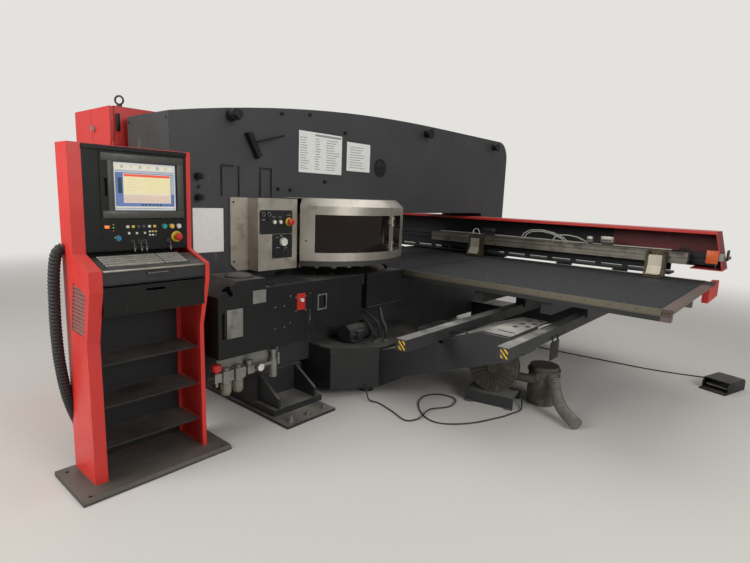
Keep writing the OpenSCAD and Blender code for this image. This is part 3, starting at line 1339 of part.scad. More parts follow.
// Foot pedal: open-fronted guard with a sprung tread inside
tread_pin_z = 34;
tread_pin_y = pedal_len - 60;
module pedal_place() {
    translate([2521, 2067, 0]) rotate([0, 0, -17.8]) children();
}
module pedal_body() {
    color("#23261f") pedal_place() {
        difference() {
            along_x([[0, 0], [0, 20], [70, pedal_h], [pedal_len - 20, pedal_h], [pedal_len, pedal_h - 20],
                [pedal_len, 0]], [0, pedal_w]);
            block([7, pedal_w - 7], [-eps, pedal_len - 8], [8, pedal_h - 7]);
            block([-eps, pedal_w + eps], [-eps, 40], [14, pedal_h]);
        }
        for (x = [[6, 16], [pedal_w - 16, pedal_w - 6]])
            block(x, [tread_pin_y - 16, tread_pin_y + 16], [7, tread_pin_z + 14]);
        rod_x([8, pedal_w - 8], tread_pin_y, tread_pin_z, 5);
    }
}
module pedal_tread() {
    color("#a9a7a0") pedal_place() difference() {
        union() {
            along_x([[70, 34], [70, 46], [tread_pin_y - 10, tread_pin_z + 14], [tread_pin_y, tread_pin_z + 10],
                [tread_pin_y, tread_pin_z - 9], [tread_pin_y - 14, tread_pin_z - 4]], [18, pedal_w - 18]);
            rod_x([18, pedal_w - 18], tread_pin_y, tread_pin_z, 11);
        }
        rod_x([17, pedal_w - 17], tread_pin_y, tread_pin_z, 5 + run_gap);
    }
}

// Fittings on the side plate: cylinder ends, hose fitting, bracket, lifting stubs and lines
module plate_fittings() {
    x0 = half_w;
    color("#232323") {
        for (z = [1581, 1457]) {
            rod_x([x0, x0 + 46], -1233, z, 20);
            rod_x([x0 + 45, x0 + 58], -1233, z, 12);
        }
        rod_x([x0, x0 + 12], -1226, 1520, 9);
        rod_x([x0, x0 + 70], -996, 1963, 36);
        rod_x([x0 + 69, x0 + 96], -996, 1963, 26);
        along_x([[-902, 1866], [-868, 1876], [-790, 1735], [-818, 1712]], [x0, x0 + 46]);
        along_x([[-846, 1806], [-838, 1822], [-620, 1886], [-616, 1872]], [x0 + 40, x0 + 52]);
        for (y = [1068, 2349]) rod_x([x0, x0 + 54], y, 2085, 34);
        for (y = [1068, 2349]) rod_x([x0 + 53, x0 + 66], y, 2085, 44);
        rod_x([x0, x0 + 5], 438, 1736, 74);
        for (a = [45:90:315]) rod_x([x0 + 4, x0 + 9], 438 + 56 * cos(a), 1736 + 56 * sin(a), 6);
        for (y = [-600, -350]) rod_x([x0, x0 + 12], y, arch_z(y) - 34, 12);
        rod_z(cabinet_x[1] - 60, cabinet_body_y[0] + 60, [cabinet_h, cabinet_h + 22], 16);
        translate([cabinet_x[1] - 60, cabinet_body_y[0] + 60, cabinet_h + 46]) rotate([90, 0, 40])
            rotate_extrude($fn = 48) translate([26, 0]) circle(r = 6, $fn = 24);
        for (y = [-1070, -945, -780, -690]) block([x0, x0 + 7], [y - 4, y + 4], [box_top + 8, 1660]);
        for (y = [-1070, -780]) block([x0, x0 + 7], [y - 4, y + 90], [1652, 1660]);
    }
}

frame();
front_cover();
feet();
base();
table_arms();
y_rails();
centre_table();
control_box();
guard_panels();
lower_covers();
brush_strips();
switch_plate();
air_unit();
air_bowls();
cabinet_body();
console_body();
console_panel();
screen();
console_conduit();
blower_stand();
blower();
canister();
blower_hose();
blower_cord();
pedal_body();
pedal_cord();
plate_fittings();
turret_shafts();
ram_guide();
carriage_base();
side_table_right();
side_table_left();
carriage_cover();
x_beam();
clamp_bodies();
clamp_jaw_near();
clamp_jaw_far();
upper_turret();
upper_tools();
lower_turret();
ram();
guard_door();
guard_window();
cabinet_door_left();
cabinet_door_right();
keyboard_tray();
drawer();
console_estop();
power_button();
start_button();
hold_button();
reset_button();
box_estop();
box_button_left();
box_button_right();
box_selector();
box_dial();
switch_knob();
air_knob();
pedal_tread();
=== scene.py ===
import math
import random

import bmesh
import bpy
from mathutils import Matrix, Vector


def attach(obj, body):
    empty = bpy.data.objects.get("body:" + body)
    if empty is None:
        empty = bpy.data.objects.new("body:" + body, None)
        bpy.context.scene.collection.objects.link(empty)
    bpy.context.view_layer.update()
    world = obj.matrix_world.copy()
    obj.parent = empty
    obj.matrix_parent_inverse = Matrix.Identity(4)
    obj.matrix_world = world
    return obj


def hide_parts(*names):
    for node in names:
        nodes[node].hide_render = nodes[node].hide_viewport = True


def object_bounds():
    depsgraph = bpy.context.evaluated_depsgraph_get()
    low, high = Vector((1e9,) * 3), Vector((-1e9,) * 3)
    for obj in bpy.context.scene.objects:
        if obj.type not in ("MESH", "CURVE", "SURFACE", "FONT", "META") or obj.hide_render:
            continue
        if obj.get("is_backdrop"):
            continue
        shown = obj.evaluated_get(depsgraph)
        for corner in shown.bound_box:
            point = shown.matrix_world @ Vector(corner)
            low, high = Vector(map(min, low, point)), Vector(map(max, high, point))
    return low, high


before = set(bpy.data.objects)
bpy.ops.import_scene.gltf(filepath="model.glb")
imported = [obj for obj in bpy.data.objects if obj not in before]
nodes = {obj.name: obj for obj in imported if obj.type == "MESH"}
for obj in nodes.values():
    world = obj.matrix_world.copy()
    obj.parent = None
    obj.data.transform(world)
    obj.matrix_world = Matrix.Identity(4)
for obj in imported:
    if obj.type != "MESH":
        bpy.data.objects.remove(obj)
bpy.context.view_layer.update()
chance = random.Random(7)
print("frame loaded:", len(nodes), "nodes")

outward = (1, 0, 0)  # away from the faces on the operator's side
forward = (0, -1, 0)  # away from the faces at the front


def mm(x, y, z):
    return Vector((x, y, z)) / 1000


def linear(hexColour):
    # sRGB hex to the linear values that the shaders take
    channels = [int(hexColour[i:i + 2], 16) / 255 for i in (1, 3, 5)]
    return tuple(c / 12.92 if c <= 0.04045 else ((c + 0.055) / 1.055) ** 2.4 for c in channels) + (1,)


def connect(tree, node, values):
    # sockets are linked, constants are set on the node's own socket
    for socket, value in values.items():
        if isinstance(value, bpy.types.NodeSocket):
            tree.links.new(value, node.inputs[socket])
        else:
            node.inputs[socket].default_value = value


def addNode(tree, kind, inputs, **options):
    node = tree.nodes.new("ShaderNode" + kind)
    for option, value in options.items():
        setattr(node, option, value)
    connect(tree, node, inputs)
    return node


def setSkin(verts, skin):
    for face in {f for v in verts for f in v.link_faces}:
        face.material_index = skin


def facing(direction):
    return Vector(direction).to_track_quat("Z", "Y").to_matrix().to_4x4()


def onCircle(degrees, radius=1.0):
    a = math.radians(degrees)
    return radius * math.cos(a), radius * math.sin(a)


def addBlock(bm, low, high, skin=0, bevel=0.0, turn=None):
    # a box between two corners in millimetres, turned about its middle
    size = [(b - a) / 1000 for a, b in zip(low, high)]
    middle = mm(*[(a + b) / 2 for a, b in zip(low, high)])
    place = Matrix.Translation(middle) @ (turn or Matrix.Identity(4)) @ Matrix.Diagonal((*size, 1))
    made = bmesh.ops.create_cube(bm, size=1, matrix=place)["verts"]
    setSkin(made, skin)
    if bevel:
        bmesh.ops.bevel(bm, geom=list({e for v in made for e in v.link_edges}), offset=bevel / 1000,
                        segments=2, profile=0.5, affect="EDGES", material=-1)


def addRod(bm, start, end, radius, skin=0, tip=None, sides=24):
    # a cylinder or cone between two points in millimetres
    a, b = mm(*start), mm(*end)
    made = bmesh.ops.create_cone(bm, cap_ends=True, segments=sides, radius1=radius / 1000,
                                 radius2=(radius if tip is None else tip) / 1000, depth=(b - a).length,
                                 matrix=Matrix.Translation((a + b) / 2) @ facing(b - a))["verts"]
    setSkin(made, skin)


def addRing(bm, centre, axis, radius, thickness, skin=0, turns=32, sides=8):
    # a closed ring of round section: a circle spun about its axis
    place = Matrix.Translation(mm(*centre)) @ facing(axis)
    start = place @ Matrix.Translation((radius / 1000, 0, 0)) @ Matrix.Rotation(math.pi / 2, 4, "X")
    made = bmesh.ops.create_circle(bm, segments=sides, radius=thickness / 1000, matrix=start)["verts"]
    edges = list({e for v in made for e in v.link_edges})
    old = set(bm.faces)
    bmesh.ops.spin(bm, geom=made + edges, cent=place.translation, axis=place.to_3x3() @ Vector((0, 0, 1)),
                   angle=2 * math.pi, steps=turns, use_merge=True)
    for face in set(bm.faces) - old:
        face.material_index = skin


def addSkin(bm, rings, skin):
    # faces between neighbouring rings of points, and a cap at each end
    faces = [bm.faces.new(rings[0][::-1]), bm.faces.new(rings[-1])]
    for near, far in zip(rings, rings[1:]):
        for k in range(len(near)):
            after = (k + 1) % len(near)
            faces.append(bm.faces.new((near[k], near[after], far[after], far[k])))
    for face in faces:
        face.material_index = skin


def addTube(bm, points, radius, skin=0, sides=8, ribs=1.0):
    # a round tube swept along points in millimetres; ribs is the share that every second ring keeps
    path = [mm(*p) for p in points]
    across = Vector((0.31, 0.17, 0.94))
    turns = [2 * math.pi * k / sides for k in range(sides)]
    rings = []
    for i, point in enumerate(path):
        along = (path[min(i + 1, len(path) - 1)] - path[max(i - 1, 0)]).normalized()
        side = along.cross(across).normalized()
        across = side.cross(along)
        wide = radius / 1000 * (ribs if i % 2 else 1)
        rings.append([bm.verts.new(point + wide * (math.cos(a) * side + math.sin(a) * across))
                      for a in turns])
    addSkin(bm, rings, skin)


def addArc(bm, radii, angles, heights, skin=0, steps=24):
    # a plate curved about the turret axis; radii and heights in millimetres, angles in degrees
    (inner, outer), (low, high) = radii, heights
    section = [(inner, low), (outer, low), (outer, high), (inner, high)]
    rings = []
    for i in range(steps + 1):
        a = angles[0] + (angles[1] - angles[0]) * i / steps
        rings.append([bm.verts.new(mm(*onCircle(a, r), z)) for r, z in section])
    addSkin(bm, rings, skin)


def addCap(bm, at, axis, radius, height, skin=0, sides=16):
    # a low screw head with a chamfered edge
    start, along = Vector(at), Vector(axis)
    addRod(bm, start, start + along * height * 0.6, radius, skin, sides=sides)
    addRod(bm, start + along * height * 0.6, start + along * height, radius, skin, radius * 0.7, sides)


def addCornerCaps(bm, face, span, inset, radius, height):
    # four screw heads inside the corners of a plate on an outward face
    y0, y1, z0, z1 = span
    for y in (y0 + inset, y1 - inset):
        for z in (z0 + inset, z1 - inset):
            addCap(bm, (face, y, z), outward, radius, height)


def addCollar(bm, face, y, z, lift, radius, thickness):
    # the yellow collar of a mushroom button
    addRing(bm, (face + lift, y, z), outward, radius, thickness, 1)
    addRod(bm, (face, y, z), (face + 2.5, y, z), radius + 4, 1)


def addHexBolt(bm, at, axis, size, height, skin=0):
    # a washer and a hexagon head
    start, along = Vector(at), Vector(axis).normalized()
    addRod(bm, start, start + along * height * 0.25, size * 0.72, skin)
    addRod(bm, start + along * height * 0.2, start + along * height, size * 0.56, skin, sides=6)


# shares of the gap between two tufts, and the shortest tuft as a share of the tallest
tuftShape = {"scatter": 0.12, "edge": 0.4, "half": 0.36, "lean": 0.3, "shortest": 0.6}


def addTufts(bm, low, high, gap, tall, skip=None):
    # pointed four-sided tufts of bristle in staggered rows, each leaning its own way
    scatter, lean, half = tuftShape["scatter"], tuftShape["lean"], gap * tuftShape["half"]
    for j in range(int((high[1] - low[1]) / gap)):
        for i in range(int((high[0] - low[0]) / gap)):
            x = low[0] + (i + 0.5 + 0.5 * (j % 2)) * gap + chance.uniform(-scatter, scatter) * gap
            y = low[1] + (j + 0.5) * gap + chance.uniform(-scatter, scatter) * gap
            if x > high[0] - gap * tuftShape["edge"] or (skip and skip(x, y)):
                continue
            tip = mm(x + chance.uniform(-lean, lean) * gap, y + chance.uniform(-lean, lean) * gap,
                     low[2] + tall * chance.uniform(tuftShape["shortest"], 1.0))
            foot = [bm.verts.new(mm(x + dx * half, y + dy * half, low[2]))
                    for dx, dy in ((-1, -1), (1, -1), (1, 1), (-1, 1))]
            top = bm.verts.new(tip)
            for k in range(4):
                bm.faces.new((foot[k], foot[(k + 1) % 4], top))


def makePiece(name, bm, finishNames, body, smooth=30):
    # skins 0, 1, 2 of the mesh take the finishes in the order in which they are named
    bmesh.ops.recalc_face_normals(bm, faces=bm.faces)
    mesh = bpy.data.meshes.new(name)
    bm.to_mesh(mesh)
    bm.free()
    for finish in finishNames.split():
        mesh.materials.append(finishes[finish])
    mesh.shade_smooth()
    mesh.set_sharp_from_angle(angle=math.radians(smooth))
    piece = bpy.data.objects.new(name, mesh)
    bpy.context.scene.collection.objects.link(piece)
    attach(piece, body)
    return piece


cameraPlace = {
    "position": (3.082, -2.850, 1.500),
    "sensor": 36,
    "focalShare": 505 / 750,  # focal length as a share of the picture's width
    "yaw": -40.704,
    "pitch": 9.554,
    "roll": -2.153,
}


def makeCamera(place):
    yaw, pitch, roll = (math.radians(place[k]) for k in ("yaw", "pitch", "roll"))
    ahead = Vector((math.sin(yaw) * math.cos(pitch), math.cos(yaw) * math.cos(pitch), -math.sin(pitch)))
    side = Vector((math.cos(yaw), -math.sin(yaw), 0))
    down = ahead.cross(side)
    right = side * math.cos(roll) + down * math.sin(roll)
    down = down * math.cos(roll) - side * math.sin(roll)
    data = bpy.data.cameras.new("camera")
    data.sensor_width = place["sensor"]
    data.lens = place["sensor"] * place["focalShare"]
    camera = bpy.data.objects.new("camera", data)
    turn = Matrix((right, -down, -ahead)).transposed().to_4x4()
    camera.matrix_world = Matrix.Translation(place["position"]) @ turn
    bpy.context.scene.collection.objects.link(camera)
    bpy.context.scene.camera = camera


makeCamera(cameraPlace)

studio = {
    "floorColour": "#bfbcb6",
    "floorRoughness": 0.85,
    "floorDepth": 0.0005,  # metres below the feet, so that nothing flickers against the floor
    "floorFade": (4.5, 10.5),  # metres from the machine where the floor turns into the background
    "background": "#e4e2de",
    "skyStrength": 0.36,
    "lamps": {  # position, aim and size in metres, power in watts
        "front": ((-0.6, -5.6, 3.6), (0.3, -0.4, 0.9), 3.0, 250),
        "overheadBack": ((0.8, 2.2, 5.4), (0.8, 1.0, 0.9), 4.5, 110),
        "rightSide": ((6.5, -1.0, 3.4), (0.8, 0.4, 0.8), 3.0, 190),
        "leftSide": ((-6.5, 0.5, 3.6), (-0.4, 0.3, 0.8), 3.0, 60),
    },
}


def makeFloor(look):
    floorLook = bpy.data.materials.new("paleFloor")
    floorLook.use_nodes = True
    tree = floorLook.node_tree
    shader = tree.nodes["Principled BSDF"]
    connect(tree, shader, {"Base Color": linear(look["floorColour"]), "Roughness": look["floorRoughness"]})
    place = addNode(tree, "NewGeometry", {}).outputs["Position"]
    away = addNode(tree, "VectorMath", {0: place}, operation="LENGTH").outputs["Value"]
    near, far = look["floorFade"]
    fade = addNode(tree, "MapRange", {"Value": away, "From Min": near, "From Max": far},
                   interpolation_type="SMOOTHSTEP").outputs[0]
    seen = addNode(tree, "LightPath", {}).outputs["Is Camera Ray"]
    fade = addNode(tree, "Math", {0: fade, 1: seen}, operation="MULTIPLY").outputs[0]
    glow = addNode(tree, "Emission", {"Color": linear(look["background"]), "Strength": 1.0}).outputs[0]
    mixed = addNode(tree, "MixShader", {0: fade, 1: shader.outputs[0], 2: glow}).outputs[0]
    connect(tree, tree.nodes["Material Output"], {"Surface": mixed})
    bm = bmesh.new()
    bmesh.ops.create_grid(bm, x_segments=1, y_segments=1, size=40)
    bmesh.ops.translate(bm, verts=bm.verts, vec=(0, 0, -look["floorDepth"]))
    mesh = bpy.data.meshes.new("floor")
    bm.to_mesh(mesh)
    bm.free()
    mesh.materials.append(floorLook)
    floor = bpy.data.objects.new("floor", mesh)
    bpy.context.scene.collection.objects.link(floor)
    floor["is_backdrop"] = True


def makeSky(look):
    # the machine is lit by a white sky, and the camera sees the background colour behind it
    world = bpy.data.worlds.new("studio")
    bpy.context.scene.world = world
    world.use_nodes = True
    tree = world.node_tree
    rays = addNode(tree, "LightPath", {}).outputs
    seen = addNode(tree, "Math", {0: rays["Is Camera Ray"], 1: rays["Is Transmission Ray"]},
                   operation="MAXIMUM")
    sky = addNode(tree, "Background", {"Color": (1, 1, 1, 1), "Strength": look["skyStrength"]})
    back = addNode(tree, "Background", {"Color": linear(look["background"]), "Strength": 1.0})
    mixed = addNode(tree, "MixShader", {0: seen.outputs[0], 1: sky.outputs[0], 2: back.outputs[0]})
    connect(tree, tree.nodes["World Output"], {"Surface": mixed.outputs[0]})


def makeLamps(look):
    for name, (position, aim, size, power) in look["lamps"].items():
        data = bpy.data.lights.new(name, "AREA")
        data.size = size
        data.energy = power
        lamp = bpy.data.objects.new(name, data)
        lamp.location = position
        lamp.rotation_mode = "QUATERNION"
        lamp.rotation_quaternion = (Vector(aim) - Vector(position)).to_track_quat("-Z", "Y")
        bpy.context.scene.collection.objects.link(lamp)


makeFloor(studio)
makeSky(studio)
makeLamps(studio)
bpy.context.scene.view_settings.view_transform = "Standard"
print("camera and studio ready")

finishes = {}


def newFinish(name):
    material = bpy.data.materials.new(name)
    material.use_nodes = True
    finishes[name] = material
    tree = material.node_tree
    return tree, tree.nodes["Principled BSDF"], addNode(tree, "TexCoord", {}).outputs["Object"]


def shades(tree, amount, first, second):
    return addNode(tree, "Mix", {0: amount, 6: first, 7: second}, data_type="RGBA").outputs[2]


def blend(tree, amount, first, second):
    return addNode(tree, "Mix", {0: amount, 2: first, 3: second}).outputs[0]


def noise(tree, coords, scale, detail=3.0, stretch=(1, 1, 1)):
    place = addNode(tree, "Mapping", {"Vector": coords, "Scale": stretch})
    values = {"Vector": place.outputs[0], "Scale": scale, "Detail": detail}
    return addNode(tree, "TexNoise", values).outputs[0]


def ramp(tree, value, low, high, bottom=0.0, top=1.0):
    return addNode(tree, "MapRange", {"Value": value, "From Min": low, "From Max": high, "To Min": bottom,
                                      "To Max": top}).outputs[0]


def combine(tree, operation, first, second):
    return addNode(tree, "Math", {0: first, 1: second}, operation=operation).outputs[0]


def times(tree, first, second):
    return combine(tree, "MULTIPLY", first, second)


def larger(tree, first, second):
    return combine(tree, "MAXIMUM", first, second)


def part(tree, vector, index):
    return addNode(tree, "SeparateXYZ", {0: vector}).outputs[index]


def faceNormal(tree):
    return addNode(tree, "NewGeometry", {}).outputs["Normal"]


def rounded(tree, radius):
    # the normal that edges rounded by this many millimetres would have
    return addNode(tree, "Bevel", {"Radius": radius / 1000}, samples=4).outputs[0]


def bumped(tree, height, strength, distance, normal):
    return addNode(tree, "Bump", {"Height": height, "Strength": strength, "Distance": distance,
                                  "Normal": normal}).outputs[0]


def insideBox(tree, coords, low, high):
    # 1 between two corners in millimetres, 0 outside
    total = None
    for i in range(3):
        for edge, operation in ((low[i], "GREATER_THAN"), (high[i], "LESS_THAN")):
            if edge is None:
                continue
            test = combine(tree, operation, part(tree, coords, i), edge / 1000)
            total = test if total is None else times(tree, total, test)
    return total


def dusty(tree, coords, colour, dust, amount, patch):
    # grey shop dust settles in patches on faces that look up
    flat = ramp(tree, part(tree, faceNormal(tree), 2), 0.55, 0.95)
    cloud = ramp(tree, noise(tree, coords, patch, 6.0), 0.35, 0.7, 0.25, 1.0)
    cover = times(tree, times(tree, flat, cloud), amount)
    return shades(tree, cover, colour, linear(dust)), cover


def wornEdges(tree, width, coords):
    # where the rounded normal leaves the face's own normal there is an edge that hands and tools rub
    soft = rounded(tree, width)
    same = addNode(tree, "VectorMath", {0: soft, 1: faceNormal(tree)}, operation="DOT_PRODUCT")
    edge = ramp(tree, same.outputs["Value"], 0.985, 0.9)
    chips = ramp(tree, noise(tree, coords, 38, 8.0), 0.42, 0.6)
    return times(tree, edge, chips), soft


edgeWidth = {"paint": 3.0, "metal": 1.5, "plastic": 1.0, "bristle": 2.0}  # millimetres


def paintedSteel(name, look, zones):
    # colour, wear, dust and grain of a coat on steel; a zone is (low, high, colour, roughness, metallic)
    tree, shader, coords = newFinish(name)
    colour = shades(tree, ramp(tree, noise(tree, coords, 3.0, 5.0), 0.3, 0.7), linear(look["colour"]),
                    linear(look["shade"]))
    rough = ramp(tree, noise(tree, coords, 9.0, 5.0), 0.3, 0.7, look["rough"] - 0.06, look["rough"] + 0.09)
    metal = None
    for low, high, zoneColour, zoneRough, zoneMetal in zones:
        zone = insideBox(tree, coords, low, high)
        colour = shades(tree, zone, colour, linear(zoneColour))
        rough = blend(tree, zone, rough, zoneRough)
        if zoneMetal:
            metal = times(tree, zone, zoneMetal)
    edge, soft = wornEdges(tree, edgeWidth["paint"], coords)
    scrape = ramp(tree, noise(tree, coords, 14, 9.0, (1, 1, 0.25)), 0.68, 0.74)
    wear = larger(tree, times(tree, edge, look["wear"]), times(tree, scrape, look["wear"] * 0.45))
    colour = shades(tree, wear, colour, linear(look["bare"]))
    colour, cover = dusty(tree, coords, colour, look["dust"], look["dustAmount"], 4.0)
    grain = noise(tree, coords, 1000 / look["grain"], 2.0)
    connect(tree, shader, {
        "Base Color": colour, "Roughness": larger(tree, rough, times(tree, cover, 0.9)),
        "Specular IOR Level": look["gloss"], "Normal": bumped(tree, grain, look["bump"], 0.0006, soft)})
    if metal is not None:
        connect(tree, shader, {"Metallic": metal})


def bareMetal(name, look, zones):
    # brushed, turned or cast metal; the brush lines run across the axis with the largest stretch
    tree, shader, coords = newFinish(name)
    shade = linear(look["shade"])
    lines = noise(tree, coords, 1000 / look["grain"], 3.0, look["stretch"])
    colour = shades(tree, ramp(tree, noise(tree, coords, 5.0, 5.0), 0.3, 0.72), linear(look["colour"]), shade)
    colour = shades(tree, ramp(tree, lines, 0.35, 0.65, 0.0, 0.3), colour, shade)
    smears = ramp(tree, noise(tree, coords, 11.0, 8.0), 0.56, 0.7, 0.0, look["grime"])
    colour = shades(tree, smears, colour, linear(look["dirt"]))
    rough = ramp(tree, lines, 0.2, 0.8, look["rough"] - 0.08, look["rough"] + 0.1)
    rough = larger(tree, rough, times(tree, smears, 0.8))
    metal = None
    for low, high, zoneColour, zoneRough in zones:
        zone = insideBox(tree, coords, low, high)
        colour = shades(tree, zone, colour, linear(zoneColour))
        rough = blend(tree, zone, rough, zoneRough)
        bare = combine(tree, "SUBTRACT", 1.0, zone)
        metal = bare if metal is None else times(tree, metal, bare)
    connect(tree, shader, {
        "Base Color": colour, "Roughness": rough,
        "Metallic": look["metallic"] if metal is None else times(tree, metal, look["metallic"]),
        "Normal": bumped(tree, lines, look["bump"], 0.0004, rounded(tree, edgeWidth["metal"]))})


def mouldedPlastic(name, look):
    # fine spark-eroded grain of a moulding, with handling shine in patches
    tree, shader, coords = newFinish(name)
    patch = noise(tree, coords, 30.0, 4.0)
    colour = shades(tree, ramp(tree, patch, 0.35, 0.7), linear(look["colour"]), linear(look["shade"]))
    colour, cover = dusty(tree, coords, colour, "#8a867d", look["dustAmount"], 12.0)
    grain = noise(tree, coords, 1000 / look["grain"], 2.0)
    connect(tree, shader, {
        "Base Color": colour,
        "Roughness": ramp(tree, patch, 0.3, 0.7, look["rough"] - 0.08, look["rough"] + 0.08),
        "Normal": bumped(tree, grain, 0.15, 0.0003, rounded(tree, edgeWidth["plastic"]))})


# coats on steel; bare shows where the coat is worn, grain is in millimetres, the rest are shares
paintColumns = ("colour", "shade", "bare", "dust", "rough", "wear", "dustAmount", "grain", "bump", "gloss")
paints = {
    # powder coat on the frame: near black, a fine matt grain, grey dust on top, little wear
    "blackPowderCoat": ("#37383a", "#303133", "#6d6c69", "#77736b", 0.5, 0.5, 0.5, 2.5, 0.18, 0.5),
    # the nose cover is the same coat, chalked and rubbed to a warm grey
    "chalkedPowderCoat": ("#343431", "#2b2b29", "#77746d", "#7a766e", 0.55, 0.6, 0.4, 2.5, 0.18, 0.5),
    # brushed-on machine enamel on the base, feet and arms: thick, oily and dusty
    "castingEnamel": ("#292a2a", "#202121", "#5b5853", "#8d8980", 0.48, 0.7, 0.8, 6.0, 0.3, 0.5),
    "armEnamel": ("#2c2d2e", "#242526", "#66635e", "#aeaba2", 0.5, 0.7, 0.95, 4.0, 0.25, 0.5),
    # duller black on the lower covers and the carriage
    "coverPowderCoat": ("#1a1b1b", "#151616", "#5d5b57", "#7d7972", 0.5, 0.65, 0.6, 2.5, 0.2, 0.25),
    "carriagePaint": ("#2b2d2f", "#222325", "#6d6a64", "#6a665e", 0.45, 0.6, 0.5, 4.0, 0.2, 0.25),
    # signal red stove enamel: smooth, half gloss, rubbed to a dull primer at the edges
    "redStoveEnamel": ("#c42a23", "#b0231d", "#7c5a52", "#a08a80", 0.38, 0.5, 0.35, 3.0, 0.1, 0.5),
    "cabinetEnamel": ("#c4322d", "#b22a26", "#7c5a52", "#96857c", 0.4, 0.4, 0.45, 3.0, 0.1, 0.5),
    "consoleEnamel": ("#d1332b", "#c02b25", "#7c5a52", "#8a7f76", 0.38, 0.55, 0.35, 3.0, 0.1, 0.5),
    "switchPlateEnamel": ("#b8241e", "#a51f1a", "#84665f", "#8a7f76", 0.4, 0.3, 0.2, 2.0, 0.1, 0.5),
    # black stove enamel on small plates and the pedal
    "blackStoveEnamel": ("#131312", "#0e0e0e", "#6b6862", "#76726a", 0.42, 0.5, 0.4, 2.0, 0.15, 0.25),
}
paintZones = {
    # painted shade: the inside of the carriage cover is darkened to near black, and its open right end to a
    # shaded dull red
    "redStoveEnamel": [((-2576, 1901, 1026), (1668, 2188.5, 1323.5), "#121111", 0.6, 0),
                       ((1668, 1901, 1026), (2576, 2188.5, 1323.5), "#6a1411", 0.5, 0)],
    # the cabinet's latch is plated
    "cabinetEnamel": [((-700, -1510, 1500), (-300, -1480.6, 1999), "#a59d8c", 0.4, 0.8)],
    # painted shade: the console's shelves and inner faces are darkened to near black; its floor plate is bare
    # and trodden
    "consoleEnamel": [((283.5, -1922.5, 26), (606, -1399, 1694), "#101011", 0.6, 0),
                      ((200, -2100, -10), (700, -1200, 25.5), "#4b4742", 0.6, 0.3)],
}
for name, row in paints.items():
    paintedSteel(name, dict(zip(paintColumns, row)), paintZones.get(name, ()))

# bare and plated metals; stretch squeezes the grain along x, y and z
metalColumns = ("colour", "shade", "dirt", "rough", "grain", "stretch", "metallic", "bump", "grime")
metals = {
    # stainless sheet with soft brush lines and finger marks: the guard, and duller on the control box
    "brushedStainless": ("#bdb7ab", "#9d978c", "#6b655b", 0.36, 1.2, (1, 1, 14), 0.8, 0.12, 0.3),
    "boxStainless": ("#b4aea1", "#968f81", "#625c51", 0.42, 1.2, (1, 1, 14), 0.5, 0.12, 0.5),
    # extruded aluminium, dulled by sheet edges dragged over it; the beam has a brownish oil film
    "extrudedAluminium": ("#b0aca0", "#8d887c", "#5f5a50", 0.42, 2.0, (0.06, 1, 1), 0.8, 0.1, 0.4),
    "oiledBeamAluminium": ("#8f897c", "#6c675d", "#3f3a33", 0.4, 2.0, (0.05, 1, 1), 0.75, 0.1, 0.6),
    # turned steel of the turret discs, dark with oil, and the ground steel of tools and rack
    "oiledTurretSteel": ("#6a6862", "#4e4c48", "#2c2a27", 0.38, 1.5, (1, 1, 1), 0.9, 0.1, 0.6),
    "groundToolSteel": ("#9a968d", "#77736b", "#38352f", 0.3, 1.0, (1, 1, 5), 0.95, 0.08, 0.5),
    # zinc-plated fittings: dull grey with a white bloom
    "zincPlate": ("#9c9b95", "#7c7a74", "#4b4740", 0.45, 3.0, (1, 1, 1), 0.7, 0.1, 0.5),
    "blackOxideSteel": ("#2b2b2a", "#1d1d1d", "#56514a", 0.45, 2.0, (1, 1, 1), 0.6, 0.1, 0.35),
    # clamp bodies are yellow-chromated, jaws bare and oily
    "chromatedClamp": ("#5c5140", "#463d30", "#3c342a", 0.45, 3.0, (1, 1, 1), 0.7, 0.12, 0.6),
    "oiledJawSteel": ("#cfc7b4", "#a59d8b", "#5d564a", 0.4, 2.0, (1, 1, 1), 0.6, 0.1, 0.4),
    # sand-cast aluminium of the blower, matt and full of dust, and its hammer-finished canister
    "sandCastAluminium": ("#5a554d", "#454039", "#7a7366", 0.7, 4.0, (1, 1, 1), 0.3, 0.5, 0.6),
    "hammeredCanister": ("#625d54", "#4b463f", "#837c70", 0.55, 7.0, (1, 1, 1), 0.4, 0.35, 0.5),
    "pressedTread": ("#8f8d86", "#706e68", "#3a3833", 0.45, 3.0, (1, 1, 1), 0.7, 0.2, 0.5),
}
metalZones = {
    # the guard's skirt is dark enamel
    "brushedStainless": [((-800, -800, 1000), (800, 800, 1041), "#2e2d2a", 0.5)],
    # two black enamelled plates are let into the control box
    "boxStainless": [((386.5, -877, 1231), (400, -606, 1387), "#0d0d0e", 0.45),
                     ((386.5, -776, 1067), (400, -606, 1229), "#0d0d0e", 0.45)],
}
for name, row in metals.items():
    bareMetal(name, dict(zip(metalColumns, row)), metalZones.get(name, ()))

